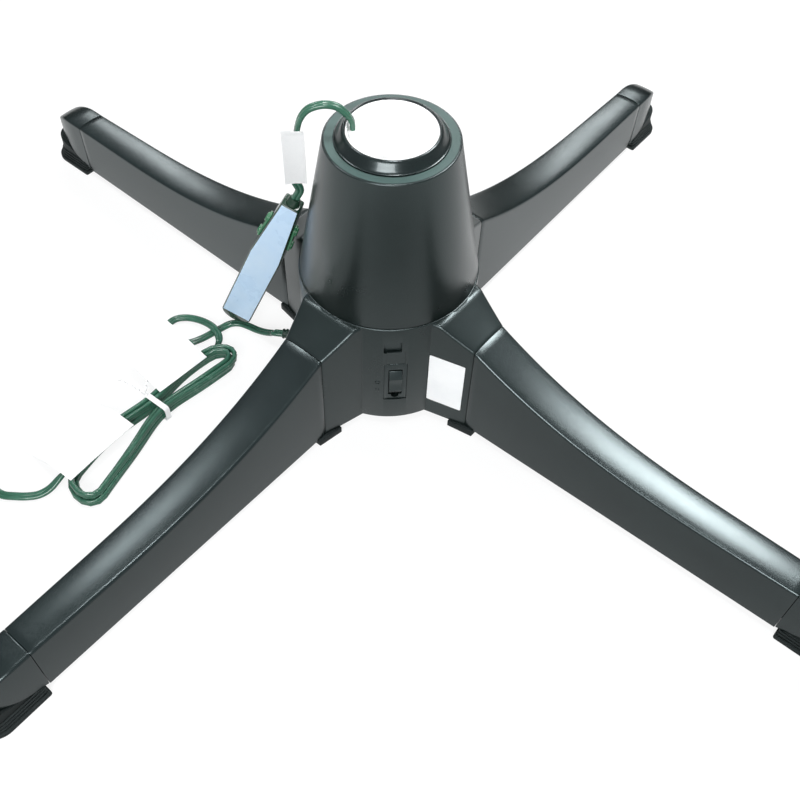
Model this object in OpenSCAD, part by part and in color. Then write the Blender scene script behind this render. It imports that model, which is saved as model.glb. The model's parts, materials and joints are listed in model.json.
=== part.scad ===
// Rotating stand for an artificial tree.
// A cross-shaped hub with four plug-in legs carries a conical tower. A geared motor in
// the hub turns the pole socket, and slip rings feed the lead that leaves its mouth.
// Z is the axis of rotation and Z = 0 is the floor. The switch faces -Y.

/* [Tower] */
// Outer radius of the tower where it stands on the hub
tower_base_r = 75; // [72:1:80]
// Outer radius of the tower at its rim
tower_rim_r = 52; // [50:1:56]
// Height of the tower's flat rim above the floor
rim_z = 256; // [240:2:276]
// Wall thickness of the tower, the hub and the legs
shell_wall = 2.6; // [2.2:0.2:3.2]

/* [Hub] */
// Height of the hub's top deck above the floor
hub_top_z = 126; // [120:1:132]
// How far the hub's round core stands out past the tower
hub_ledge = 1; // [0.5:0.5:2]
// Height of the lower edges of hub and legs above the floor
ground_gap = 7.6; // [6:0.2:9]
// Side flare of each hub arm, in degrees from the arm's axis
arm_flare = 15; // [12:1:18]

/* [Legs] */
// Distance from the axis to the joint between hub and leg
leg_root = 107; // [102:1:112]
// Distance from the axis to the seam between leg and end cap
leg_tip = 405; // [340:5:430]
// Half width of a leg at the hub
leg_root_half = 20; // [18:0.5:22]
// Half width of a leg at its end cap
leg_tip_half = 15.2; // [14:0.2:17]
// Height of a leg's top above the floor at the hub joint
leg_root_z = 109; // [100:1:114]
// Height of a leg's top above the floor at its end cap
leg_tip_z = 63; // [56:1:68]
// Radius of the rounded upper edges of legs and hub arms
edge_r = 5.5; // [4:0.5:6.5]
// Length of an end cap past the seam
cap_length = 51; // [44:1:56]
// How far the rubber sole stands out past the leg on each side
sole_margin = 4.5; // [3:0.5:6]

/* [Pole socket] */
// Radius of the bore that takes the tree's pole
pole_bore_r = 16.6; // [15:0.1:17]
// Depth of the pole bore
pole_bore_depth = 185; // [170:5:190]
// Radius of the opening in the collar
mouth_r = 35; // [33:0.5:36]
// Height of the collar above the tower's rim
collar_rise = 8.6; // [7:0.2:10]
// Outer radius of the collar where it meets the rim
collar_foot_r = 43.5; // [42:0.5:45]

/* [Drive] */
// Tooth module of the two gears
gear_module = 1.25; // [1.25]
// Teeth on the large gear
gear_teeth = 72; // [72]
// Teeth on the motor pinion
pinion_teeth = 18; // [18]
// Face width of the gears
gear_width = 8; // [6:0.5:9]
// Radius of the motor's round can
motor_r = 25; // [23:0.5:26]
// Height of the motor's can
motor_h = 18; // [16:0.5:18]

/* [Switch and sticker] */
// Width of the rocker
rocker_w = 11; // [10:0.5:12]
// Height of the rocker
rocker_h = 30; // [26:1:31]
// Height of the rocker's pivot above the floor
rocker_z = 57.5; // [54:0.5:60]
// Width of the blank sticker on the hub
sticker_w = 32; // [28:1:34]
// Height of the blank sticker on the hub
sticker_h = 60; // [50:1:64]

/* [Leads] */
// Width of the flat twin leads
lead_w = 7.4; // [7:0.2:7.6]
// Thickness of the flat twin leads
lead_t = 4.2; // [3.8:0.1:4.4]
// Length of the outlet block on the output lead
block_l = 162; // [150:2:168]
// Width of the outlet block
block_w = 29; // [26:1:31]
// Thickness of the outlet block
block_t = 19; // [17:1:20]

/* [Hidden] */
$fn = 96;
ANGLES = [45, 135, 225, 315];

// Clearances
fit = 0.4;            // between plugged plastic parts
seam = 0.3;           // between parts that only meet
run = 0.08;           // radial running clearance
touch = 0.05;         // between faces that bear on each other
eps = 0.1;            // overlap of joined shapes

// Hub
hub_r = tower_base_r + hub_ledge;
core_z = ground_gap + 0.5;      // lower edge of the round core
deck_z = hub_top_z - shell_wall;
deck_hole_r = 46;
cover_t = 2.5;
cover_z = ground_gap + 1.9;
cover_top = cover_z + cover_t;
screw_circle = tower_base_r - 11;
tower_screw_circle = tower_base_r - 7;
screw_turn = 15;
boss_r = 4;
screw_r = 1.5;
head_r = 3;
cover_screw_l = 12;
plate_screw_l = 16;

// Leg curve: flat near the tip, rising to the deck's height under the tower
leg_flat_run = 65;
leg_flat = leg_tip - leg_flat_run;
root_rise = leg_root_z - leg_tip_z;
leg_power = ln((hub_top_z - leg_tip_z) / root_rise) / ln((leg_flat - hub_r) / (leg_flat - leg_root));
function top_at(s) = leg_tip_z + root_rise * pow(max(0, (leg_flat - s) / (leg_flat - leg_root)), leg_power);
function leg_half(s) = leg_root_half + (leg_tip_half - leg_root_half) * (s - leg_root) / (leg_tip - leg_root);
function arm_half(s) = leg_root_half + (leg_root - s) * tan(arm_flare);
leg_stations = [0, 0.04, 0.09, 0.15, 0.21, 0.28, 0.36, 0.45, 0.56, 0.7, 0.85, 1];
tongue = 13;          // how far legs and caps plug in
tongue_z = ground_gap + 12;
bulkhead = 2.6;
rib_count = 5;
plate_len = 24;
plate_lap = 15;       // part of the joint plate under the hub
plate_margin = 2;
hub_screw_s = leg_root - plate_lap / 2;
leg_screw_s = leg_root + (plate_len - plate_lap) / 2;
cover_reach = leg_root - tongue - 6;    // how far the bottom cover runs into each arm
// Where an arm's flared side comes out of the round core
side_0 = leg_root_half + leg_root * tan(arm_flare);
arm_start = (side_0 * tan(arm_flare) + sqrt(pow(side_0 * tan(arm_flare), 2)
    - (1 + pow(tan(arm_flare), 2)) * (side_0 * side_0 - hub_r * hub_r))) / (1 + pow(tan(arm_flare), 2));

// Tower
function tower_r(z) = tower_base_r + (tower_rim_r - tower_base_r) * (z - hub_top_z) / (rim_z - hub_top_z);
rim_t = 3;
rim_edge = 1.4;
flange_t = 3;
flange_r = tower_base_r - 13;
seat_h = 20;
seat_wall = 2.4;

// Pole socket and what turns with it
collar_z = rim_z + fit;
collar_top = rim_z + collar_rise;
lip_w = 2.3;
skirt_r = mouth_r + 2.2;
skirt_z = rim_z - seat_h;
bush_r = skirt_r + 3.1;
seat_r = bush_r + 0.2;
tube_r = pole_bore_r + 4.4;
tube_z = cover_top + 16;
tube_floor = 3;
bore_z = tube_z + tube_floor;
bore_top = bore_z + pole_bore_depth;
tube_flange_r = 28;
liner_t = 1.6;
liner_cone_t = 1.9;   // thickness of its cone, measured across the axis
liner_mouth_r = mouth_r - 0.2 - liner_t;
liner_top = collar_top - 1;
cone_z = skirt_z + 9;
socket_wall = 3;
funnel_low_r = pole_bore_r + 0.4;
gland_r = 5.2;
gland_angle = 163;
gland_sink = 1.8;     // how far the lead's gland is sunk into the liner's wall
gland_off = liner_mouth_r - gland_r + gland_sink;
gland_z = rim_z + 3;
gear_z = tube_z + 7;
gear_r = gear_module * gear_teeth / 2;
pinion_r = gear_module * pinion_teeth / 2;
gear_axis = gear_r + pinion_r;
gear_ratio = gear_teeth / pinion_teeth;
backlash = 0.16;
addendum = 0.9;
dedendum = 1.3;
pressure = 20;
drum_r = 29;
drum_z = 62;
drum_h = 32;
ring_t = 1.5;
ring_h = 4;
ring_pitch = 9;
shaft_r = 3.5;
motor_z = cover_top;
motor_top = motor_z + motor_h;

// Bearing
ball_r = 3;
ball_circle = 23;
ball_count = 14;
race_in = 17.5;
race_out = 28;
race_t = 3;
groove_r = ball_r + 0.1;
seat_z = tube_z - 2 * race_t - 4;
ball_z = (seat_z + tube_z) / 2;

// Switch
bezel_w = 19;
bezel_z = 34.5;
bezel_top = 81.5;
window_w = 15;
window_h = 14;
window_z = 97;
pivot_y = -(hub_r - 8);
pivot_r = 1.5;
rocker_depth = 11;
rocker_ridge = 7.5;

// Sticker and leads
sticker_t = 0.3;
sticker_z = 26.5;
lead_r = lead_w / 2;
relief_l = 22;
exit_angle = 168;
exit_z = 17;
exit_r = hub_r + relief_l;
exit_xy = [exit_r * cos(exit_angle), exit_r * sin(exit_angle)];
relief_r = 5;         // part of the strain relief in the hub's wall
relief_flange_r = 6.4;
relief_in = hub_r - 7;

// Outlet block: foot of its axis, then its lean, heading and roll
block_foot = [-135.5, 53.5, 19.5];
block_lean = 22.8;
block_heading = -21;
block_roll = -1;
block_nose = 13;
block_break = 0.58 * block_l;   // where the straight part turns into the taper
block_neck_w = 16.5;
block_neck_t = 15;
sleeve_l = 6;
label_margin = 1;
label_t = 0.4;

// Hank: its waist, its heading and the size of its loops
hank_xy = [-209, -50];
hank_turn = 47.5;
hank_right = 88;      // from the waist to the end by the hub
hank_left = 108;      // from the waist to the far end
hank_bow = -0.0012;   // sideways bow for each square millimetre along the hank
hank_spread = 0.032;  // extra half width for each millimetre towards the far end
hank_turns = 3;
hank_layers = 2;
hank_in = 9.7;        // half width of the innermost loop
hank_step = lead_t + 0.7;
hank_climb = lead_w + 0.45;
hank_pinch = 7.1;     // how far every run is drawn in at the waist
hank_pinch_l = 34;
hank_rings = 24;
hank_start = -0.15;   // share of a turn by which the lead joins before the waist
hank_over = 0.17;     // share of a turn past the last whole one
climb_share = 0.2;    // share of a turn on each side of the waist for a climb
tie_w = 5;
tie_t = 0.8;
hank_z = lead_r + tie_t + 0.3;
hank_top = hank_z + (hank_layers - 1) * hank_climb + lead_r;

// Routes, in whole millimetres from the axis and the floor
power_route = [
    [-105, 25, 13], [-113, 31, 8], [-121, 38, 4], [-129, 44, 3], [-137, 48, 3],
    [-146, 48, 3], [-155, 43, 3], [-164, 37, 3], [-174, 31, 3], [-185, 27, 3],
    [-196, 28, 3], [-205, 34, 3], [-208, 43, 3], [-205, 52, 3], [-198, 58, 3],
    [-189, 59, 3], [-180, 56, 4], [-171, 50, 6], [-163, 42, 8], [-158, 34, 8],
    [-156, 26, 6], [-159, 17, 5]
];
tail_route = [
    [-275, -104, 13], [-281, -112, 12], [-288, -119, 9], [-296, -126, 5],
    [-305, -130, 3], [-315, -131, 3], [-325, -130, 3], [-335, -128, 3],
    [-343, -122, 3], [-348, -113, 3], [-351, -103, 3], [-354, -92, 3],
    [-358, -82, 4], [-361, -74, 6]
];
tail_turn = 112;      // heading of the plug
output_route = [
    [-29, 9, 265], [-33, 9, 272], [-40, 10, 278], [-50, 10, 280], [-60, 10, 277],
    [-66, 10, 270], [-69, 11, 260], [-70, 13, 250], [-71, 17, 238], [-72, 20, 224],
    [-73, 23, 210], [-74, 26, 197]
];

// Blank paper tags
tag_t = 0.5;
lead_tag_at = [-81.5, 5.6, 262];       // left end of its fold
lead_tag = [17, 66];  // front leaf
lead_tag_back = 30;   // length of the leaf that stands up behind the lead
lead_tag_slit = 14;   // how far the lead runs through beside that leaf
large_tag = [72, 66];
small_tag = [55, 66];
large_tag_fold = 24;  // part of the large tag that lies on the hank
large_tag_u = -30;    // places of the tags along the hank
small_tag_u = 64;

// ---- General shapes ----

module at_leg(i) {
    rotate([0, 0, ANGLES[i]]) children();
}

// One upper rounded outline, from the lower left corner over the top to the lower right
function arch(half, low, top, r, n = 3) = concat(
    [[-half, low]],
    [for (k = [0:n]) [-half + r - r * cos(90 * k / n), top - r + r * sin(90 * k / n)]],
    [for (k = [n:-1:0]) [half - r + r * cos(90 * k / n), top - r + r * sin(90 * k / n)]],
    [[half, low]]
);

// Rings of equal length joined into one closed solid along +X
module loft(rings) {
    m = len(rings);
    n = len(rings[0]);
    polyhedron(
        points = [for (ring = rings) each ring],
        faces = concat(
            [[for (k = [n - 1:-1:0]) k]],
            [[for (k = [0:n - 1]) (m - 1) * n + k]],
            [for (j = [0:m - 2]) for (k = [0:n - 1])
                [j * n + k, j * n + (k + 1) % n, (j + 1) * n + (k + 1) % n, (j + 1) * n + k]]
        ),
        convexity = 6
    );
}
function at_x(x, outline) = [for (p = outline) [x, p[0], p[1]]];
function mix(a, b, t) = a + (b - a) * t;

// Solid under the leg's top curve between two distances, drawn in by a margin
module leg_solid(from, to, margin, low, stations = leg_stations) {
    loft([for (t = stations) let (s = mix(from, to, t))
        at_x(s, arch(leg_half(s) - margin, low, top_at(s) - margin, max(edge_r - margin, 1)))]);
}

// Hub arm, solid, drawn in by a margin
module arm_solid(from, to, margin, low) {
    loft([for (t = [0, 0.25, 0.5, 0.75, 1]) let (s = mix(from, to, t))
        at_x(s, arch(arm_half(s) - margin, low, min(top_at(s), hub_top_z - eps) - margin,
                     max(edge_r - margin, 1)))]);
}

// Involute gear outline
function inv_xy(base, a) = base * [cos(a) + a * PI / 180 * sin(a), sin(a) - a * PI / 180 * cos(a)];
function inv_a(base, r) = sqrt(pow(r / base, 2) - 1) * 180 / PI;
function turn2(p, a) = [p[0] * cos(a) - p[1] * sin(a), p[0] * sin(a) + p[1] * cos(a)];
function polar(p) = atan2(p[1], p[0]);
function gear_outline(teeth, play) =
    let (pitch = gear_module * teeth / 2, base = pitch * cos(pressure),
        tip = pitch + addendum * gear_module, root = pitch - dedendum * gear_module,
        low = max(base, root + 0.1), half = 90 / teeth - play / pitch * 90 / PI,
        shift = polar(inv_xy(base, inv_a(base, pitch))) + half,
        flank = [for (k = [0:3]) let (r = mix(low, tip, k / 3)) turn2(inv_xy(base, inv_a(base, r)), -shift)])
    [for (i = [0:teeth - 1]) let (a = 360 * i / teeth)
        each concat(
            [turn2([root, 0], a - shift - 0.25 * half)],
            [for (p = flank) turn2(p, a)],
            [for (k = [3:-1:0]) turn2([flank[k][0], -flank[k][1]], a)],
            [turn2([root, 0], a + shift + 0.25 * half)]
        )];

// ---- Leads ----

function unit(v) = v / norm(v);
function smooth(t) = let (c = min(1, max(0, t))) c * c * (3 - 2 * c);
function along(pts, i) = unit(pts[min(i + 1, len(pts) - 1)] - pts[max(i - 1, 0)]);

// Flat section of a lead at p, square to d. At no turn its width lies across "up".
function section(p, d, sides, up, turn) =
    let (a = unit(cross(up, d)), b = cross(d, a),
        wide = a * cos(turn) + b * sin(turn), thin = b * cos(turn) - a * sin(turn))
    [for (k = [0:sides - 1]) let (n = 360 * k / sides)
        p + lead_w / 2 * cos(n) * wide + lead_t / 2 * sin(n) * thin];

// Lead along points. Its ends face the given directions and its turn goes from one
// angle to the other over the given shares of its length.
module lead(pts, sides, first, last, up = [0, 0, 1], turns = [0, 0], over = [0, 1]) {
    m = len(pts);
    rings = [for (i = [0:m - 1])
        section(pts[i], i == 0 ? first : i == m - 1 ? last : along(pts, i), sides, up,
            mix(turns[0], turns[1], smooth((i / (m - 1) - over[0]) / (over[1] - over[0]))))];
    polyhedron(
        points = [for (ring = rings) each ring],
        faces = concat(
            [[for (k = [0:sides - 1]) k]],
            [[for (k = [sides - 1:-1:0]) (m - 1) * sides + k]],
            [for (j = [0:m - 2]) for (k = [0:sides - 1]) let (n = (k + 1) % sides)
                each [[j * sides + k, (j + 1) * sides + k, (j + 1) * sides + n],
                    [j * sides + k, (j + 1) * sides + n, j * sides + n]]]
        ),
        convexity = 10
    );
}

// Hank centre line. Whole turns are counted from the waist of one run.
hank_per = hank_turns / hank_layers;
hank_out = hank_in + hank_step * hank_per;
hank_run = hank_left + hank_right - 2 * hank_out;
hank_mid = (hank_right - hank_left) / 2;
function hank_half(q) = hank_in + hank_step * (q <= hank_per ? hank_per - q : q - hank_per);
function hank_layer(q) = min(1, max(0, (q - hank_per + climb_share) / (2 * climb_share)));
// Place on the plain loop: along the hank, across it, and the half width there
function hank_plain(q) =
    let (w = hank_half(q), arc = PI * w, left = hank_run / 2 - hank_mid,
        d = (q - floor(q)) * 2 * (hank_run + arc))
    d < left ? [-d, w, w] :
    d < left + arc ? let (a = 90 + (d - left) / w * 180 / PI)
        [-left + w * cos(a), w * sin(a), w] :
    d < left + arc + hank_run ? [d - left - arc - left, -w, w] :
    d < left + 2 * arc + hank_run ? let (a = (d - left - arc - hank_run) / w * 180 / PI - 90)
        [hank_run - left + w * cos(a), w * sin(a), w] :
    [2 * hank_run + 2 * arc - d, w, w];
function hank_point(q) =
    let (p = hank_plain(q), u = p[0],
        v = p[1] - p[1] / p[2] * (hank_pinch * exp(-pow(u / hank_pinch_l, 2)) + hank_spread * u)
            + hank_bow * u * u)
    [hank_xy[0] + u * cos(hank_turn) - v * sin(hank_turn),
        hank_xy[1] + u * sin(hank_turn) + v * cos(hank_turn),
        hank_z + hank_climb * hank_layer(q)];
hank_count = ceil((hank_turns + hank_over - hank_start) * hank_rings);
hank_pts = [for (i = [0:hank_count]) hank_point(mix(hank_start, hank_turns + hank_over, i / hank_count))];
hank_first = unit(hank_pts[1] - hank_pts[0]);
hank_last = unit(hank_pts[hank_count] - hank_pts[hank_count - 1]);
hank_line = concat(
    [hank_pts[0] - lead_w * hank_first], hank_pts, [hank_pts[hank_count] + lead_w * hank_last]
);
// Least gap between turns. Sections stand on edge, so heights are scaled to the thickness.
flat = lead_t / lead_w;
hank_gap = min([for (i = [0:hank_count - 9]) for (j = [i + 9:hank_count])
    let (d = hank_pts[j] - hank_pts[i]) norm([d[0], d[1], d[2] * flat])]) - lead_t;
echo(least_gap_in_hank = hank_gap);

module at_hank() {
    translate([hank_xy[0], hank_xy[1], 0]) rotate([0, 0, hank_turn]) children();
}

// ---- Hub, tower and cover ----

module hub_bosses() {
    for (a = [0:90:270])
        rotate([0, 0, a + screw_turn]) translate([screw_circle, 0, cover_top + touch])
            cylinder(r = boss_r, h = deck_z - cover_top);
    for (i = [0:3])
        at_leg(i) translate([hub_screw_s, 0, ground_gap])
            cylinder(r = boss_r, h = top_at(hub_screw_s + boss_r) - ground_gap - shell_wall / 2);
}

module hub_openings() {
    translate([-bezel_w / 2 - fit, -hub_r - 1, bezel_z - fit])
        cube([bezel_w + 2 * fit, shell_wall + 4, bezel_top - bezel_z + 2 * fit]);
    translate([-window_w / 2 - 1.5, -hub_r - 1, window_z]) cube([window_w, shell_wall + 4, window_h]);
    rotate([0, 0, exit_angle]) translate([relief_in - 1, 0, exit_z]) rotate([0, 90, 0]) 
        cylinder(r = relief_r + 0.2, h = 12);
    for (a = [0:90:270])
        rotate([0, 0, a + screw_turn]) translate([screw_circle, 0, cover_top - 1])
            cylinder(r = screw_r, h = 16);
    for (a = [0:90:270])
        rotate([0, 0, a]) translate([tower_screw_circle, 0, deck_z - 1])
            cylinder(r = screw_r + 0.3, h = shell_wall + 2);
    for (i = [0:3])
        at_leg(i) translate([hub_screw_s, 0, ground_gap - 1]) cylinder(r = screw_r, h = 16);
}

arm_from = hub_r - 26;   // inner end of the arms, inside the core
module hub_housing() {
    color("#333d3b") difference() {
        union() {
            difference() {
                union() {
                    translate([0, 0, core_z]) cylinder(r = hub_r, h = hub_top_z - core_z);
                    for (i = [0:3]) at_leg(i) arm_solid(arm_from, leg_root - seam, 0, ground_gap);
                }
                translate([0, 0, ground_gap - 1])
                    cylinder(r = hub_r - shell_wall, h = deck_z - ground_gap + 1);
                for (i = [0:3]) at_leg(i) arm_solid(arm_from - 5, leg_root + 1, shell_wall, ground_gap - 1);
                cylinder(r = deck_hole_r, h = hub_top_z + 1);
            }
            hub_bosses();
        }
        hub_openings();
    }
}

module cover_plan() {
    near = arm_start - 10;
    circle(r = hub_r - shell_wall - fit);
    for (i = [0:3])
        rotate([0, 0, ANGLES[i]]) polygon([
            [0, -side(near)], [near, -side(near)], [cover_reach, -side(cover_reach)],
            [cover_reach, side(cover_reach)], [near, side(near)], [0, side(near)]
        ]);
}
function side(s) = arm_half(s) - shell_wall - fit;

cover_hole_r = 12;
module bottom_cover() {
    color("#2b3331") difference() {
        union() {
            translate([0, 0, cover_z]) linear_extrude(cover_t) cover_plan();
            translate([0, 0, cover_z]) cylinder(r = race_out + 1, h = seat_z - cover_z);
        }
        translate([0, 0, cover_z - 1]) cylinder(r = cover_hole_r, h = seat_z - cover_z + 2);
        rotate([0, 0, exit_angle]) translate([relief_in - 1, -relief_flange_r - fit, cover_z - 1])
            cube([hub_r, 2 * (relief_flange_r + fit), cover_t + 2]);
        for (a = [0:90:270])
            rotate([0, 0, a + screw_turn]) translate([screw_circle, 0, cover_z - 1]) {
                cylinder(r = screw_r + 0.3, h = cover_t + 2);
                cylinder(r = head_r + 0.3, h = 1.9);
            }
    }
}

module tower_shell() {
    low = hub_top_z + touch;
    color("#2f3836") difference() {
        rotate_extrude() polygon(concat(
            [[flange_r, low], [tower_base_r - 0.6, low], [tower_base_r, low + 0.8]],
            [for (k = [0:4]) let (a = 90 * k / 4)
                [tower_r(rim_z - rim_edge) - rim_edge * (1 - cos(a)), rim_z - rim_edge * (1 - sin(a))]],
            [[seat_r, rim_z], [seat_r, rim_z - seat_h], [skirt_r + 1, rim_z - seat_h],
            [skirt_r + 1, rim_z - seat_h - seat_wall], [seat_r + seat_wall, rim_z - seat_h - seat_wall],
            [seat_r + seat_wall, rim_z - rim_t], [tower_r(rim_z - rim_t) - shell_wall, rim_z - rim_t],
            [tower_r(low + flange_t) - shell_wall, low + flange_t], [flange_r, low + flange_t]]
        ));
        for (a = [0:90:270])
            rotate([0, 0, a]) translate([tower_screw_circle, 0, low - 1])
                cylinder(r = screw_r, h = flange_t + 2);
    }
}

module upper_bush() {
    color("#d8d4c8") translate([0, 0, rim_z - seat_h + touch]) difference() {
        cylinder(r = bush_r, h = seat_h - 0.2);
        translate([0, 0, -1]) cylinder(r = skirt_r + run, h = seat_h + 2);
    }
}

// ---- Legs, caps, feet and joint plates ----

module leg() {
    color("#364240") difference() {
        union() {
            difference() {
                leg_solid(leg_root, leg_tip, 0, ground_gap);
                leg_solid(leg_root + bulkhead, leg_tip + 1, shell_wall, ground_gap - 1);
            }
            for (k = [1:rib_count]) let (s = mix(leg_root, leg_tip, k / (rib_count + 1)))
                leg_solid(s - 1, s + 1, shell_wall / 2, tongue_z + 2, [0, 1]);
            difference() {
                leg_solid(leg_root - tongue, leg_root + bulkhead / 2, shell_wall + fit, tongue_z,
                    [0, 0.5, 1]);
                leg_solid(leg_root - tongue - 1, leg_root + bulkhead / 4, 2 * shell_wall + fit, tongue_z - 1,
                    [0, 0.5, 1]);
                // slot that clears the hub's screw boss
                translate([leg_root - tongue - 1, -boss_r - fit, tongue_z])
                    cube([hub_screw_s + boss_r + fit - leg_root + tongue + 1, 2 * (boss_r + fit), hub_top_z]);
            }
            translate([leg_screw_s, 0, ground_gap])
                cylinder(r = boss_r, h = top_at(leg_screw_s + boss_r) - ground_gap - shell_wall / 2);
        }
        translate([leg_screw_s, 0, ground_gap - 1]) cylinder(r = screw_r, h = 16);
    }
}

// Underside of the end cap rises towards the nose
cap_low_rise = 20;
cap_flat = 24;        // straight part of the cap past the seam
cap_nose_r = cap_length - cap_flat;
cap_top_drop = 28;
function cap_low(s) = ground_gap + 1 + cap_low_rise * (s - leg_tip) / cap_length;
function cap_half(s) =
    leg_tip_half * sqrt(max(0.02, 1 - pow(max(0, s - leg_tip - cap_flat) / cap_nose_r, 2)));
function cap_top(s) = leg_tip_z - cap_top_drop
    * (1 - sqrt(max(0.01, 1 - pow(max(0, s - leg_tip - cap_flat) / cap_nose_r, 2))));

module cap_solid(from, to, margin, drop) {
    stations = [0, 0.3, 0.5, 0.62, 0.73, 0.82, 0.9, 0.96, 1];
    loft([for (t = stations) let (s = mix(from, to, t), h = cap_half(s) - margin)
        at_x(s, arch(h, cap_low(s) - drop, cap_top(s) - margin, max(min(edge_r - margin, h - 0.5), 0.5)))]);
}

module cap() {
    color("#323d3b") union() {
        difference() {
            cap_solid(leg_tip + seam, leg_tip + cap_length, 0, 0);
            cap_solid(leg_tip + bulkhead, leg_tip + cap_length - 7, shell_wall, 1);
        }
        difference() {
            leg_solid(leg_tip - tongue, leg_tip + seam + bulkhead / 2, shell_wall + fit, tongue_z, [0, 1]);
            leg_solid(leg_tip - tongue - 1, leg_tip + seam + bulkhead / 4, 2 * shell_wall + fit,
                tongue_z - 1, [0, 1]);
        }
    }
}

foot_from = leg_tip + 3;
foot_to = leg_tip + cap_length + 7;
sole_t = 4;
foot_half = leg_tip_half + sole_margin;
module foot_plan(from, to, half) {
    nose = half * 0.9;
    translate([from, -half]) square([to - from - nose, 2 * half]);
    translate([to - nose, 0]) scale(nose / half) circle(r = half);
    translate([to - nose - 4, -half]) square([4, 2 * half]);
}

module foot() {
    color("#1f2524") union() {
        linear_extrude(sole_t) foot_plan(foot_from, foot_to, foot_half);
        for (k = [0:1])
            translate([0, 0, sole_t + 1.5 + 3 * k]) linear_extrude(1.5)
                foot_plan(foot_from + 1, foot_to - 3 - 2 * k, foot_half - 2 - k);
        intersection() {
            linear_extrude(leg_tip_z) foot_plan(foot_from + 1, foot_to - 6, leg_tip_half - 0.6);
            rotate([90, 0, 0]) translate([0, 0, -foot_half]) linear_extrude(2 * foot_half) polygon([
                [foot_from, 0], [foot_to, 0],
                [foot_to, cap_low(foot_to) - seam], [foot_from, cap_low(foot_from) - seam]
            ]);
        }
    }
}

module joint_plate() {
    half = leg_half(leg_root) + plate_margin;
    from = leg_root - plate_lap;
    color("#262d2c") difference() {
        translate([from, -half, 0]) cube([plate_len, 2 * half, ground_gap - touch]);
        for (s = [hub_screw_s, leg_screw_s])
            translate([s, 0, -1]) {
                cylinder(r = screw_r + 0.3, h = ground_gap + 2);
                cylinder(r = head_r + 0.3, h = 3.4);
            }
        for (side = [-1, 1])
            translate([from - 1, side * (half + 1.6), ground_gap]) rotate([45, 0, 0])
                cube([plate_len + 2, 3, 3]);
    }
}

module screw(length) {
    translate([0, 0, -length]) cylinder(r = screw_r - 0.05, h = length, $fn = 32);
    difference() {
        cylinder(r1 = head_r, r2 = head_r - 0.4, h = 1.6, $fn = 32);
        translate([-1.9, -0.35, 0.8]) cube([3.8, 0.7, 2]);
        translate([-0.35, -1.9, 0.8]) cube([0.7, 3.8, 2]);
    }
}

module cover_screws() {
    color("#8b8f90") for (a = [0:90:270])
        rotate([0, 0, a + screw_turn]) translate([screw_circle, 0, cover_z + 0.85]) rotate([180, 0, 0]) 
            screw(cover_screw_l);
}

module plate_screws() {
    color("#8b8f90") for (i = [0:3]) for (s = [hub_screw_s, leg_screw_s])
        at_leg(i) translate([s, 0, 2.35]) rotate([180, 0, 0]) screw(plate_screw_l);
}

module tower_screws() {
    color("#8b8f90") for (a = [0:90:270])
        rotate([0, 0, a]) translate([tower_screw_circle, 0, deck_z - touch])
            rotate([180, 0, 0]) screw(5.5);
}

// ---- Switch and sticker ----

module switch_bezel() {
    color("#242b2a") difference() {
        union() {
            translate([-bezel_w / 2, -hub_r + 1.4, bezel_z]) cube([bezel_w, 3, bezel_top - bezel_z]);
            for (side = [-1, 1])
                translate([side * (rocker_w / 2 + 1.9) - 1.3, -hub_r + 3, rocker_z - 6]) cube([2.6, 9.5, 12]);
        }
        translate([-rocker_w / 2 - 0.4, -hub_r, rocker_z - rocker_h / 2 - 1.8])
            cube([rocker_w + 0.8, 8, rocker_h + 3.6]);
        translate([-rocker_w / 2, -hub_r, bezel_z + 1.2]) cube([rocker_w, 8, 3]);
        translate([-20, pivot_y, rocker_z]) rotate([0, 90, 0]) cylinder(r = pivot_r + run, h = 40);
    }
}

module rocker() {
    color("#3d4947") {
        translate([-rocker_w / 2, pivot_y, rocker_z]) rotate([90, 0, 90]) linear_extrude(rocker_w) polygon([
            [3, -rocker_h / 4], [-3, -rocker_h / 2 + 0.6], [-7, -rocker_h / 2],
            [-rocker_depth, -rocker_ridge],
            [-rocker_depth, rocker_ridge], [-7, rocker_h / 2], [-3, rocker_h / 2 - 0.6], [3, rocker_h / 4]
        ]);
        translate([-rocker_w / 2 - 3, pivot_y, rocker_z]) rotate([0, 90, 0])
            cylinder(r = pivot_r, h = rocker_w + 6);
    }
}

module switch_body() {
    color("#1c1f20") {
        translate([-8, pivot_y + 6, rocker_z - 13]) cube([16, 12, 26]);
        for (k = [-1:1])
            translate([-3, pivot_y + 17.9, rocker_z + 8 * k - 0.4]) cube([6, 7, 0.8]);
    }
}

module blank_sticker() {
    s = arm_start + 0.5;
    color("#f4f6f6") at_leg(3) translate([s, -arm_half(s), sticker_z]) rotate([0, 0, arm_flare])
        translate([0, -sticker_t - 0.02, 0]) cube([sticker_w, sticker_t, sticker_h]);
}

// ---- Drive ----

module motor_can() {
    color("#b9bcbd") rotate([0, 0, ANGLES[0]]) translate([gear_axis, 0, 0]) difference() {
        union() {
            translate([0, 0, motor_z + touch]) cylinder(r = motor_r, h = motor_h - touch);
            translate([0, 0, motor_top]) cylinder(r = 6, h = 2);
        }
        translate([0, 0, motor_top - 8]) cylinder(r = shaft_r + run, h = 12);
    }
}

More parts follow.
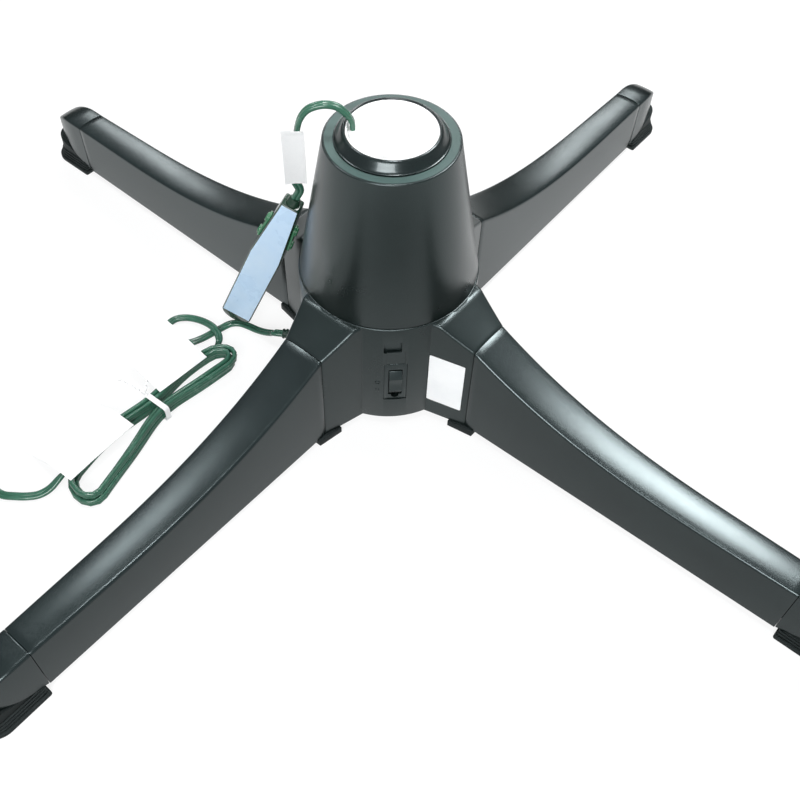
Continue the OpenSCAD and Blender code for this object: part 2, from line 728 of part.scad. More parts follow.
bracket_w = 8;
bracket_t = 1.4;
bracket_foot_w = 6;
boss_gap = 2.2;       // between the bracket and the cover's screw bosses
bracket_out = screw_circle * cos(ANGLES[0] - screw_turn) - boss_r - boss_gap;
module motor_bracket() {
    foot_y = motor_r + 0.2 + bracket_foot_w / 2;
    color("#9a9fa1") rotate([0, 0, ANGLES[0]]) translate([bracket_out - bracket_w, 0, 0]) difference() {
        union() {
            for (side = [-1, 1])
                translate([0, side * foot_y - bracket_foot_w / 2, motor_z + touch])
                    cube([bracket_w, bracket_foot_w, motor_h + bracket_t]);
            translate([0, -foot_y - bracket_foot_w / 2, motor_top + touch])
                cube([bracket_w, 2 * foot_y + bracket_foot_w, bracket_t]);
        }
        for (side = [-1, 1])
            translate([bracket_w / 2, side * foot_y, motor_z + 1]) cylinder(r = screw_r, h = motor_h + 4);
    }
}

module drive_gear() {
    color("#e6e2d6") translate([0, 0, gear_z]) difference() {
        linear_extrude(gear_width) polygon(gear_outline(gear_teeth, backlash));
        translate([0, 0, -1]) cylinder(r = tube_r + touch, h = gear_width + 2);
        for (a = [0:45:315])
            rotate([0, 0, a]) translate([(gear_r + tube_r) / 2 - 1, 0, -1])
                cylinder(r = 6, h = gear_width + 2);
    }
}

module pinion() {
    // Half a tooth of turn where the tooth counts need it, so that a gap meets a tooth
    mesh_turn = 180 / pinion_teeth * (1 + pinion_teeth % 2) + ANGLES[0] * (1 + gear_ratio);
    color("#c9a24a") translate([gear_axis * cos(ANGLES[0]), gear_axis * sin(ANGLES[0]), 0]) {
        translate([0, 0, gear_z]) rotate([0, 0, mesh_turn + 180])
            linear_extrude(gear_width) polygon(gear_outline(pinion_teeth, backlash));
        translate([0, 0, motor_top - 7]) cylinder(r = shaft_r, h = gear_z + gear_width + 2 - motor_top + 7);
    }
}

module pole_socket() {
    color("#3a3f3e") rotate_extrude() polygon([
        [0, tube_z], [tube_flange_r, tube_z], [tube_flange_r, gear_z - touch], [tube_r, gear_z - touch],
        [tube_r, drum_z - 3], [tube_r + 3, drum_z - 3],
        [tube_r + 3, drum_z - touch], [tube_r, drum_z - touch],
        [tube_r, bore_top - 4],
        [funnel_seat_r(skirt_z - 3) + socket_wall, skirt_z - 3], [skirt_r, skirt_z - 3],
        [skirt_r, skirt_z - touch],
        [funnel_seat_r(skirt_z), skirt_z - touch], [funnel_seat_r(bore_top), bore_top],
        [pole_bore_r, bore_top], [pole_bore_r, bore_z], [0, bore_z]
    ]);
}
function funnel_seat_r(z) = mix(funnel_low_r, liner_mouth_r, (z - bore_top) / (cone_z - bore_top))
    + liner_cone_t + seam;

module socket_collar() {
    steps = 6;
    color("#2c3534") rotate_extrude() polygon(concat(
        [[mouth_r, skirt_z], [skirt_r, skirt_z], [skirt_r, collar_z], [collar_foot_r, collar_z]],
        [for (k = [0:steps]) let (a = 90 * k / steps)
            [mix(collar_foot_r - 0.6, mouth_r + lip_w, sin(a)),
             collar_top - 1 - (collar_top - 1 - collar_z - 1) * cos(a)]],
        [[mouth_r + lip_w - 0.8, collar_top], [mouth_r + 0.6, collar_top], [mouth_r, collar_top - 0.6]]
    ));
}

module socket_liner() {
    color("#fbfcfc") union() {
        rotate_extrude() polygon([
            [funnel_low_r, bore_top + touch], [liner_mouth_r, cone_z], [liner_mouth_r, liner_top],
            [liner_mouth_r + liner_t, liner_top], [liner_mouth_r + liner_t, cone_z],
            [funnel_low_r + liner_cone_t, bore_top + touch]
        ]);
        intersection() {
            rotate([0, 0, gland_angle]) translate([gland_off, 0, bore_top])
                cylinder(r = gland_r, h = gland_z - bore_top);
            rotate_extrude() polygon([
                [0, bore_top + 1], [funnel_low_r + liner_cone_t / 2, bore_top + 1],
                [liner_mouth_r + liner_t / 2, cone_z],
                [liner_mouth_r + liner_t / 2, liner_top - 1], [0, liner_top - 1]
            ]);
        }
    }
}

module race(z, groove_z) {
    difference() {
        translate([0, 0, z]) difference() {
            cylinder(r = race_out, h = race_t);
            translate([0, 0, -1]) cylinder(r = race_in, h = race_t + 2);
        }
        rotate_extrude() translate([ball_circle, groove_z]) circle(r = groove_r, $fn = 48);
    }
}

module lower_race() {
    color("#c2c6c8") race(seat_z + touch, ball_z);
}

module upper_race() {
    color("#c2c6c8") race(tube_z - race_t - touch, ball_z);
}

module thrust_balls() {
    color("#d5d9db") for (k = [0:ball_count - 1])
        rotate([0, 0, 360 * k / ball_count]) translate([ball_circle, 0, ball_z]) sphere(r = ball_r, $fn = 32);
}

module slip_ring_drum() {
    color("#7a2f22") translate([0, 0, drum_z]) difference() {
        cylinder(r = drum_r, h = drum_h);
        translate([0, 0, -1]) cylinder(r = tube_r + touch, h = drum_h + 2);
    }
}

module slip_rings() {
    color("#c87a43") for (k = [0:2])
        translate([0, 0, drum_z + 5 + ring_pitch * k]) difference() {
            cylinder(r = drum_r + ring_t, h = ring_h);
            translate([0, 0, -1]) cylinder(r = drum_r + 0.02, h = ring_h + 2);
        }
}

holder_w = 16;
holder_l = 24;
module brush_holder() {
    color("#20282c") rotate([0, 0, ANGLES[2]]) difference() {
        union() {
            translate([drum_r + ring_t + 4, -holder_w / 2, drum_z]) cube([holder_l, holder_w, drum_h]);
            translate([gear_r + 4, -holder_w / 2, cover_top + touch]) cube([8, holder_w, drum_z - cover_top]);
        }
        for (k = [0:2])
            translate([drum_r + ring_t + 3, -2.1, drum_z + 5 + ring_pitch * k - 0.1])
                cube([18, 4.2, ring_h + 0.2]);
    }
}

module carbon_brushes() {
    color("#2a2a2c") rotate([0, 0, ANGLES[2]]) for (k = [0:2])
        translate([drum_r + ring_t + 0.3, -2, drum_z + 5 + ring_pitch * k]) {
            cube([11, 4, ring_h]);
            translate([10.9, 2, ring_h / 2]) rotate([0, 90, 0]) for (n = [0:4])
                translate([0, 0, 1.9 * n]) cylinder(r = 1.6, h = 0.9, $fn = 24);
            translate([10.9, 2, ring_h / 2]) rotate([0, 90, 0]) cylinder(r = 0.6, h = 9.5, $fn = 24);
        }
}

wire_r = 1.1;
wire_ring = screw_circle - 7;
wire_z = exit_z - 2;
sleeve_r = 1.5;       // sleeves on the ends of the wires
switch_angle = 263;   // where the switched wire rises
holder_gap = asin((holder_w / 2 + 0.33) / wire_ring);   // degrees kept free on each side of the holder
module wire_arc(from, to, z) {
    rotate([0, 0, from]) rotate_extrude(angle = to - from)
        translate([wire_ring, z]) circle(r = wire_r, $fn = 24);
}

module internal_leads() {
    color("#e8e8e2") {
        for (k = [0:1]) {
            wire_arc(exit_angle + 1, ANGLES[2] - holder_gap, wire_z + 4 * k);
            rotate([0, 0, exit_angle]) translate([wire_ring - sleeve_r, 0, wire_z + 4 * k]) rotate([0, 90, 0])
                cylinder(r = sleeve_r, h = relief_in - wire_ring + sleeve_r - touch, $fn = 24);
        }
        wire_arc(ANGLES[2] + holder_gap, switch_angle - 1, wire_z);
        rotate([0, 0, switch_angle]) translate([wire_ring, 0, wire_z - sleeve_r])
            cylinder(r = sleeve_r, h = rocker_z - 13 - wire_z + sleeve_r - touch, $fn = 24);
    }
}

// ---- Mains lead, hank and plug ----

module cord_bush() {
    color("#31503f") rotate([0, 0, exit_angle]) translate([0, 0, exit_z]) rotate([0, 90, 0]) {
        translate([0, 0, relief_in]) cylinder(r = relief_r, h = 8);
        translate([0, 0, relief_in]) cylinder(r = relief_flange_r, h = 2.5);
        translate([0, 0, hub_r + 0.4]) cylinder(r = relief_flange_r, h = 2);
        translate([0, 0, hub_r + 2.3]) cylinder(r1 = relief_r + 0.4, r2 = lead_r + 0.7, h = relief_l - 2.3);
    }
}

module power_cord() {
    first = [cos(exit_angle), sin(exit_angle), 0];
    start = [exit_xy[0], exit_xy[1], exit_z];
    color("#3f6a55") lead(
        concat([start, start + lead_w * first], power_route,
            [hank_line[0] - lead_w * hank_first, hank_line[0] - 0.01 * hank_first]),
        8, first, hank_first, turns = [0, 90], over = [0.8, 1]
    );
}

module cord_hank() {
    color("#3f6a55") lead(hank_line, 6, hank_first, hank_last, turns = [90, 90]);
}

module hank_tie() {
    side = hank_out - hank_pinch + lead_t / 2 + 0.8;
    color("#f2f4f4") at_hank() {
        difference() {
            translate([-tie_w / 2, -side - tie_t, hank_z - lead_r - tie_t - 0.2])
                cube([tie_w, 2 * (side + tie_t), hank_top - hank_z + lead_r + 2 * tie_t + 0.4]);
            translate([-tie_w, -side, hank_z - lead_r - 0.2])
                cube([2 * tie_w, 2 * side, hank_top - hank_z + lead_r + 0.4]);
        }
        translate([-tie_w / 2, side, hank_top]) rotate([50, 0, 12]) cube([tie_w, 24, tie_t]);
    }
}

tail_to = [cos(tail_turn), sin(tail_turn), 0];
plug_at = tail_route[len(tail_route) - 1] + 2 * lead_w * tail_to;
module cord_tail() {
    color("#3f6a55") lead(
        concat([hank_line[hank_count + 2] + 0.01 * hank_last], tail_route, [plug_at]),
        8, hank_last, tail_to, turns = [90, 0], over = [0.05, 0.35]
    );
}

module at_plug() {
    translate(plug_at) rotate([0, 0, tail_turn]) children();
}

module wall_plug() {
    color("#2f5242") at_plug() {
        rotate([0, 90, 0]) translate([0, 0, 0.02]) cylinder(r1 = lead_r + 0.8, r2 = 5.4, h = 14);
        translate([14, -5.2, -5.2]) cube([5, 10.4, 10.4]);
        translate([18.9, 0, 0]) rotate([0, 90, 0]) linear_extrude(22) {
            square([11, 18], center = true);
            for (side = [-1, 1]) translate([0, side * 9]) circle(r = 5.5);
        }
    }
}

module plug_blades() {
    color("#c7b98a") at_plug() for (side = [-1, 1])
        translate([40.95, side * 6.35 - 0.75, -3.2]) difference() {
            cube([17, 1.5, 6.4]);
            translate([13, -1, 3.2]) rotate([-90, 0, 0]) cylinder(r = 1.5, h = 4, $fn = 32);
        }
}

// ---- Output lead and outlet block ----

module at_block() {
    translate(block_foot) rotate([0, block_lean, block_heading]) rotate([0, 0, block_roll]) children();
}
block_axis = [
    sin(block_lean) * cos(block_heading), sin(block_lean) * sin(block_heading), cos(block_lean)
];
block_top = block_foot + (block_l + sleeve_l) * block_axis;
gland_xy = [gland_off * cos(gland_angle), gland_off * sin(gland_angle)];

module output_cord() {
    start = [gland_xy[0], gland_xy[1], gland_z + touch];
    color("#47745f") lead(concat([start], output_route, [block_top + lead_w * 1.5 * block_axis, block_top]),
        8, [0, 0, 1], -block_axis, up = [0, 1, 0], turns = [90, 0], over = [0.45, 0.7]);
}

// Front outline of the block: round foot, straight sides, then a taper to the neck
module block_outline() {
    half = block_w / 2;
    neck = block_neck_w / 2;
    polygon(concat(
        [for (k = [0:8]) let (a = 180 + 180 * k / 8) [half * cos(a), block_nose * sin(a)]],
        [[half, block_break], [neck, block_l], [-neck, block_l], [-half, block_break]]
    ));
}

module outlet_block() {
    color("#2c4438") at_block() {
        intersection() {
            translate([0, block_t / 2, 0]) rotate([90, 0, 0]) linear_extrude(block_t) block_outline();
            translate([-block_w, 0, 0]) rotate([90, 0, 90]) linear_extrude(2 * block_w) polygon([
                [-block_t / 2 + 3, -block_nose], [block_t / 2 - 3, -block_nose], [block_t / 2, 0],
                [block_t / 2, block_break], [block_neck_t / 2, block_l], [-block_neck_t / 2, block_l],
                [-block_t / 2, block_break], [-block_t / 2, 0]
            ]);
        }
        translate([0, 0, block_l - eps]) cylinder(r1 = 6.4, r2 = lead_r + 0.7, h = sleeve_l + eps - 0.02);
    }
}

// Covered outlets on both sides of the taper, each with two slots
outlet_r = 7.4;
outlet_z = 0.7 * block_l;
outlet_t = 3;
module outlet_sockets() {
    lean = atan((block_w - block_neck_w) / 2 / (block_l - block_break));
    half = mix(block_w, block_neck_w, (outlet_z - block_break) / (block_l - block_break)) / 2;
    color("#5d9077") at_block() for (side = [-1, 1])
        translate([side * (half + touch), 0, outlet_z]) rotate([0, side * (90 - lean), 0]) difference() {
            cylinder(r = outlet_r, h = outlet_t);
            for (k = [-1, 1]) translate([-3.2, k * 3.2 - 0.6, 1]) cube([6.4, 1.2, outlet_t]);
        }
}

module block_label() {
    slope = atan((block_t - block_neck_t) / 2 / (block_l - block_break));
    half = block_w / 2 - label_margin;
    neck = block_neck_w / 2 - label_margin;
    color("#cfe2f4") at_block() {
        translate([0, -block_t / 2 - 0.02, 0]) rotate([90, 0, 0]) linear_extrude(label_t)
            translate([-half, 0]) square([2 * half, block_break - 0.5]);
        translate([0, -block_t / 2 - 0.04, block_break]) rotate([-slope, 0, 0]) rotate([90, 0, 0])
            linear_extrude(label_t)
                polygon([
                    [-half, 0], [half, 0],
                    [neck, block_l - block_break - 0.5], [-neck, block_l - block_break - 0.5]
                ]);
    }
}

// Blank paper tags: one on the output lead and two on the hank
module lead_tag_blank() {
    side = 7.5;       // what is left of the sheet beside the lead
    color("#f8f8f6") translate(lead_tag_at) {
        rotate([13, 0, 0]) translate([0, 0, -lead_tag[1]]) cube([lead_tag[0], tag_t, lead_tag[1]]);
        translate([0, tag_t / 2, -tag_t / 2]) rotate([45, 0, 0]) linear_extrude(tag_t) polygon([
            [0, 0], [side, 0], [side, lead_tag_slit], [lead_tag[0] - 2, lead_tag_slit + 3],
            [lead_tag[0] - 1, lead_tag_back], [1.5, lead_tag_back + 1]
        ]);
    }
}

module large_tag_blank() {
    color("#f8f8f6") at_hank() translate([large_tag_u, -3, hank_top + 0.3]) rotate([90, 0, -90])
        linear_extrude(large_tag[0])
            polygon([[0, 0], [-large_tag_fold, 0],
                     [-large_tag[1], 2 - hank_top], [-large_tag[1], 2 - hank_top + tag_t],
                [-large_tag_fold, tag_t], [0, tag_t]]);
}

module small_tag_blank() {
    color("#f8f8f6") at_hank() translate([small_tag_u, 0, hank_top + 0.4]) rotate([8, 0, -5])
        translate([-small_tag[0], 0, 0]) cube([small_tag[0], small_tag[1], tag_t]);
}

hub_housing();
bottom_cover();
tower_shell();
upper_bush();
at_leg(0) leg();  // leg_back_right
at_leg(1) leg();  // leg_back_left
at_leg(2) leg();  // leg_front_left
at_leg(3) leg();  // leg_front_right
at_leg(0) cap();  // cap_back_right
at_leg(1) cap();  // cap_back_left
at_leg(2) cap();  // cap_front_left
at_leg(3) cap();  // cap_front_right
at_leg(0) foot();  // foot_back_right
at_leg(1) foot();  // foot_back_left
at_leg(2) foot();  // foot_front_left
at_leg(3) foot();  // foot_front_right
at_leg(0) joint_plate();  // joint_plate_back_right
at_leg(1) joint_plate();  // joint_plate_back_left
at_leg(2) joint_plate();  // joint_plate_front_left
at_leg(3) joint_plate();  // joint_plate_front_right
cover_screws();
plate_screws();
tower_screws();
switch_bezel();
switch_body();
rocker();
blank_sticker();
motor_can();
motor_bracket();
pinion();
drive_gear();
pole_socket();
socket_collar();
socket_liner();
lower_race();
thrust_balls();
upper_race();
slip_ring_drum();
slip_rings();
brush_holder();
carbon_brushes();
internal_leads();
cord_bush();
power_cord();
cord_hank();
hank_tie();
cord_tail();
wall_plug();
plug_blades();
output_cord();
outlet_block();
outlet_sockets();
block_label();
lead_tag_blank();  // lead_tag
large_tag_blank();  // large_tag
small_tag_blank();  // small_tag
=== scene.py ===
"""Rotating stand for an artificial tree: moulded shells, leads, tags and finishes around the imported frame."""

import json
import math
from contextlib import contextmanager

import bmesh
import bpy
from mathutils import Matrix, Vector
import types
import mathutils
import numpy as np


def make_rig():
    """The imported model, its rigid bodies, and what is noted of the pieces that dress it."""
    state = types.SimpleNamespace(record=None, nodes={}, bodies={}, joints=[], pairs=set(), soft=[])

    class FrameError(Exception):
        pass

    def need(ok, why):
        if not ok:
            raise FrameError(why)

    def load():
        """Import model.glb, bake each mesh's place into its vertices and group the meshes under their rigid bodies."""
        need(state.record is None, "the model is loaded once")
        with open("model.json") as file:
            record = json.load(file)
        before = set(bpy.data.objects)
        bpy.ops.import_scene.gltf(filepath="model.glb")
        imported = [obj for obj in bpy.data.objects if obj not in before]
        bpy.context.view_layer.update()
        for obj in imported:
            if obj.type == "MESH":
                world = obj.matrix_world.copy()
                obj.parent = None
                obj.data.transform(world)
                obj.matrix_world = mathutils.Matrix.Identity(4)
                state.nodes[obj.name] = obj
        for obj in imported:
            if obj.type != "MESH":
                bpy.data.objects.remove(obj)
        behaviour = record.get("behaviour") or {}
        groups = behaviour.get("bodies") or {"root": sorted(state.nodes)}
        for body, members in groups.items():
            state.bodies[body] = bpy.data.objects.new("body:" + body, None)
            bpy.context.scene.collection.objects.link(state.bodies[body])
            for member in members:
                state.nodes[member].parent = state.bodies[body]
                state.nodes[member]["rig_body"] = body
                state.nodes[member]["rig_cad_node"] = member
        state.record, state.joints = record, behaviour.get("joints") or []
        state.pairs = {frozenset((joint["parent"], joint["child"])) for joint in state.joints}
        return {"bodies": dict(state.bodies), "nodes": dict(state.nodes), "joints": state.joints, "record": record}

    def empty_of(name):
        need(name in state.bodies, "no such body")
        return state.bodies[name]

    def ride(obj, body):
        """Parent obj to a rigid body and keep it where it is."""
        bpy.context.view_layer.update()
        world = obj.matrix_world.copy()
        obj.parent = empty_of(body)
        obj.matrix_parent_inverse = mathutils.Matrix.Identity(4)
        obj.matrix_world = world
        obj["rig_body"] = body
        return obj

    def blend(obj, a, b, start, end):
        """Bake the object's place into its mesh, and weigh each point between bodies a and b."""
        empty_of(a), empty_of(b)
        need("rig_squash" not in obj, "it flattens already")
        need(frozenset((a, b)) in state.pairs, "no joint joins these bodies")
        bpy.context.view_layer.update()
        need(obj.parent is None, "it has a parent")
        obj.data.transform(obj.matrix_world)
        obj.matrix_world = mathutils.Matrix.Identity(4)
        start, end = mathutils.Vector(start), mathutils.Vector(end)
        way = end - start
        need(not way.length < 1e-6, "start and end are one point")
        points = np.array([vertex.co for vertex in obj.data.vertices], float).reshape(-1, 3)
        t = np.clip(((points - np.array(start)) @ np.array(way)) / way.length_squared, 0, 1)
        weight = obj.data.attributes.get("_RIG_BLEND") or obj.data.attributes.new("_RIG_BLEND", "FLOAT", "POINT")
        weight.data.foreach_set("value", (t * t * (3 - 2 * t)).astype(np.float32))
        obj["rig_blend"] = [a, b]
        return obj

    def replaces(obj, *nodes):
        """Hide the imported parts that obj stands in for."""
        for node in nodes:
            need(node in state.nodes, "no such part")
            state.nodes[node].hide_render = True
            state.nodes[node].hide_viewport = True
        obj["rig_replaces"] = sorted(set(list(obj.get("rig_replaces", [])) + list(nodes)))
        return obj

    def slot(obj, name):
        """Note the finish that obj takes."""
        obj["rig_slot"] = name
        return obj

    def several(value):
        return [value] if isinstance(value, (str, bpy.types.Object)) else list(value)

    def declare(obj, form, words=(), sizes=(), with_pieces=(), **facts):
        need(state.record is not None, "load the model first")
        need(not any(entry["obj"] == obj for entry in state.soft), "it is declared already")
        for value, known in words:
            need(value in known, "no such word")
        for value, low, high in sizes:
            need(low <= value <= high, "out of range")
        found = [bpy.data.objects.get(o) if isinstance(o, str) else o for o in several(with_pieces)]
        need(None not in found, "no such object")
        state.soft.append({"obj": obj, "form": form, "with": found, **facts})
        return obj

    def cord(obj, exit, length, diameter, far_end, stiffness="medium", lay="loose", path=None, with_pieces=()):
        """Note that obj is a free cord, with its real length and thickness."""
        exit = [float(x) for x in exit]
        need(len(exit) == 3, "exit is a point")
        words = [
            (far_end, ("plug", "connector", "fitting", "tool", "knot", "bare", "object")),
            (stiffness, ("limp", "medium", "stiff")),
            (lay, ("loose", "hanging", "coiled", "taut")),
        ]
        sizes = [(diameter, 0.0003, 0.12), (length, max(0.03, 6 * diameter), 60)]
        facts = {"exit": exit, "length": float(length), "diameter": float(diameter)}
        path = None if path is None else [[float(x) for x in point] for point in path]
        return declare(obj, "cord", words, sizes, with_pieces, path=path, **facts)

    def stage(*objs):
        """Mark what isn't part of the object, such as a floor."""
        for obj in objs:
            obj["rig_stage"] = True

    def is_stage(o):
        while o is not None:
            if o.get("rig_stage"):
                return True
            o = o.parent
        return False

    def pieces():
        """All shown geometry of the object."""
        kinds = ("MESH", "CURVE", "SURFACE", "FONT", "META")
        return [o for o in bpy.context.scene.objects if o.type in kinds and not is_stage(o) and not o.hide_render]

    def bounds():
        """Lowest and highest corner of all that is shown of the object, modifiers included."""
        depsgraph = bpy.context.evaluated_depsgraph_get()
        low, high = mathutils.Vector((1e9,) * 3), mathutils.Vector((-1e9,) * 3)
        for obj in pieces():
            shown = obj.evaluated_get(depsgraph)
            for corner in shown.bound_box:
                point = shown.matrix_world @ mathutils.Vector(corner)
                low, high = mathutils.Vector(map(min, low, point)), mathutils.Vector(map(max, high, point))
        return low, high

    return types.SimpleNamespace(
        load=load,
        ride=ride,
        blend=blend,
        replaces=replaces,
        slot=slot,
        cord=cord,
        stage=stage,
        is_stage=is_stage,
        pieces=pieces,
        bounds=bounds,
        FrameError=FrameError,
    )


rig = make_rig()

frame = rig.load()
cad_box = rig.bounds()

MM = 0.001
SIDES = {"back_right": 45, "back_left": 135, "front_left": 225, "front_right": 315}  # degrees from +X

# ---- Sizes of the stand, in metres, as the frame has them ----

HUB_R = 76 * MM
ARM_FROM = 50 * MM  # inner end of an arm, inside the round core
HUB_TOP = 126 * MM
CORE_Z = 8.1 * MM  # lower edge of the round core
GROUND_GAP = 7.6 * MM
WALL = 2.6 * MM
DECK_HOLE_R = 46 * MM
ARM_FLARE = math.radians(15)
LEG_ROOT = 107 * MM
LEG_TIP = 405 * MM
LEG_FLAT = LEG_TIP - 65 * MM
ROOT_HALF = 20 * MM
TIP_HALF = 15.2 * MM
ROOT_Z = 109 * MM
TIP_Z = 63 * MM
EDGE_R = 2.6 * MM  # rounding of an arm's, leg's and cap's upper edges
SEAM = 0.3 * MM
ROOT_RISE = ROOT_Z - TIP_Z
LEG_POWER = math.log((HUB_TOP - TIP_Z) / ROOT_RISE) / math.log((LEG_FLAT - HUB_R) / (LEG_FLAT - LEG_ROOT))
CROWN = 1.1 * MM  # rise of a leg's top along its middle
FIT = 0.4 * MM
BULKHEAD = 2.6 * MM
TONGUE = 13 * MM
TONGUE_Z = GROUND_GAP + 12 * MM
RIBS = 5
CAP_LENGTH = 51 * MM
CAP_FLAT = 12 * MM  # length of a cap before its nose
CAP_NOSE = CAP_LENGTH - CAP_FLAT
CAP_RISE = 20 * MM
CAP_DROP = 28 * MM
FOOT_FROM = LEG_TIP + 3 * MM
FOOT_TO = LEG_TIP + CAP_LENGTH + 7 * MM
FOOT_HALF = TIP_HALF + 4.5 * MM
SOLE = 4 * MM
PLATE_FROM = LEG_ROOT - 15 * MM
PLATE_TO = PLATE_FROM + 24 * MM
PLATE_LIP = 1.8 * MM  # how far a joint plate stands out past the arm and leg above it
ARM_SCREW = LEG_ROOT - 7.5 * MM
LEG_SCREW = LEG_ROOT + 4.5 * MM
TOWER_R = 75 * MM
RIM_R = 52 * MM
RIM_Z = 256 * MM
SEAT_R = 40.5 * MM
SEAT_H = 20 * MM
SKIRT_R = 37.2 * MM
COLLAR_Z = RIM_Z + FIT
COLLAR_TOP = RIM_Z + 8.6 * MM
COLLAR_FOOT_R = 43.5 * MM
MOUTH_R = 35 * MM
LINER_R = 33.2 * MM
LINER_T = 1.6 * MM
CONE_T = 1.9 * MM
CONE_Z = 245 * MM
BORE_TOP = 216 * MM
FUNNEL_R = 17 * MM
GLAND_R = 5.2 * MM
GLAND_AT = Vector((-28.50, 8.71, 259.05)) * MM
SWITCH_HALF = 9.75 * MM
SWITCH_LOW = 34.25 * MM
SWITCH_HIGH = 81.75 * MM
SWITCH_FIT = 0.15 * MM
WINDOW_X = (-10.5 * MM, 4.5 * MM)
WINDOW_Z = (97 * MM, 111 * MM)
ROCKER_W = 11 * MM
ROCKER_Z = 57.5 * MM
PIVOT_Y = 8 * MM - HUB_R
PIVOT_R = 1.5 * MM
LEAD_W = 7.4 * MM
LEAD_T = 4.2 * MM
WHITE = "#ffffff"
TEAL = "#e8fafd"  # the cast of what the dark plastics reflect face on


def top_at(s):
    """Height of a leg's top at a distance from the axis."""
    return TIP_Z + ROOT_RISE * max(0, (LEG_FLAT - s) / (LEG_FLAT - LEG_ROOT)) ** LEG_POWER


def leg_half(s):
    return ROOT_HALF + (TIP_HALF - ROOT_HALF) * (s - LEG_ROOT) / (LEG_TIP - LEG_ROOT)


def arm_half(s):
    return ROOT_HALF + (LEG_ROOT - s) * math.tan(ARM_FLARE)


def arm_top(s):
    return min(top_at(s), HUB_TOP - 0.1 * MM)


def cap_share(s):
    """The share of its full section that an end cap has at a distance from the axis, down to its nose."""
    return math.sqrt(max(0.004, 1 - (max(0, s - LEG_TIP - CAP_FLAT) / CAP_NOSE) ** 2))


def cap_low(s):
    return GROUND_GAP + MM + CAP_RISE * (s - LEG_TIP) / CAP_LENGTH


def tower_r(z):
    return mix(TOWER_R, RIM_R, (z - HUB_TOP) / (RIM_Z - HUB_TOP))


def mix(a, b, t):
    return a + (b - a) * t


def ease(t):
    t = min(1, max(0, t))
    return t * t * (3 - 2 * t)


# ---- Camera, floor and light ----

CAMERA_AT = Vector((-62.9, -583.8, 728.7)) * MM
CAMERA_AIM = Vector((-4.4, -41.3, 0)) * MM
CAMERA_ROLL = math.radians(1.49)
CAMERA_LENS = 44.68
CAMERA_SHIFT = (0.018, -0.011)

# Each lamp: its place, what it faces, its width and height in metres, and its power in watts
LAMPS = {
    "overhead": ((0.05, -0.12, 1.4), (0, -0.1, 0.1), 0.18, 0.18, 5),
    "right_key": ((0.62, 0.33, 1.05), (0.2, -0.2, 0.08), 0.36, 0.32, 9.5),
    "left_glow": ((-0.37, 0.25, 0.86), (-0.2, -0.2, 0.08), 0.17, 0.17, 1.5),
    "back_strip": ((0.1, 1.18, 0.76), (0, 0.15, 0.05), 1.2, 0.22, 7),
    "front_fill": ((-0.45, -1.5, 1.2), (0, 0, 0.1), 1.0, 0.6, 27),
}
ROOM_BRIGHT, ROOM_DIM = 0.46, 0.06  # the room in reflections: most of it, and low down behind the stand
ROOM_AMBIENT = 0.1  # the room's light on matt surfaces
FLOOR_BRIGHT = 1.06  # the floor to the camera
# The pool is painted shade: the floor's glow, as reflections see it, is dimmed around this point
POOL_AT = (0, -0.52, 0)  # middle of the dim pool that reflections of the floor show
POOL_FROM, POOL_TO = 0.12, 0.66  # distances from there where its level starts and stops to rise
POOL_DIM, POOL_BRIGHT = 0.2, 1.05


def place_camera():
    """Above and in front of the stand, a little to the left, and rolled a little."""
    data = bpy.data.cameras.new("camera")
    data.lens = CAMERA_LENS
    data.shift_x, data.shift_y = CAMERA_SHIFT
    data.clip_start, data.clip_end = 0.05, 30
    camera = bpy.data.objects.new("camera", data)
    bpy.context.scene.collection.objects.link(camera)
    facing = (CAMERA_AIM - CAMERA_AT).to_track_quat("-Z", "Y").to_matrix().to_4x4()
    camera.matrix_world = Matrix.Translation(CAMERA_AT) @ facing @ Matrix.Rotation(CAMERA_ROLL, 4, "Z")
    bpy.context.scene.camera = camera


def softbox(name, place, aim, width, height, power):
    """A rectangular area lamp that faces a point."""
    data = bpy.data.lights.new(name, "AREA")
    data.shape = "RECTANGLE"
    data.size, data.size_y = width, height
    data.energy = power
    lamp = bpy.data.objects.new(name, data)
    bpy.context.scene.collection.objects.link(lamp)
    lamp.location = place
    lamp.rotation_euler = (Vector(aim) - Vector(place)).to_track_quat("-Z", "Y").to_euler()


# ---- Nodes ----


def linear(colour):
    """sRGB hex to the linear colour that a shader takes."""
    parts = [int(colour[i : i + 2], 16) / 255 for i in (1, 3, 5)]
    return [c / 12.92 if c <= 0.04045 else ((c + 0.055) / 1.055) ** 2.4 for c in parts] + [1]


def add(tree, kind, inputs=None, **settings):
    """Adds a node with its settings. inputs gives a value or another node's output for each socket.

    A Map Range node's sockets 1 and 2 are the range that it reads, 3 and 4 the range that it gives.
    """
    made = tree.nodes.new("ShaderNode" + kind)
    for name, value in settings.items():
        setattr(made, name, value)
    for socket, value in (inputs or {}).items():
        if isinstance(value, bpy.types.NodeSocket):
            tree.links.new(value, made.inputs[socket])
        else:
            made.inputs[socket].default_value = value
    return made


def by_eye(tree):
    """1 where the eye sees a surface: straight, in a mirror or through glass."""
    path = add(tree, "LightPath")
    camera, mirror, glass = (path.outputs[f"Is {kind} Ray"] for kind in ("Camera", "Glossy", "Transmission"))
    straight = add(tree, "Math", {0: camera, 1: mirror}, operation="MAXIMUM")
    return add(tree, "Math", {0: straight.outputs[0], 1: glass}, operation="MAXIMUM")


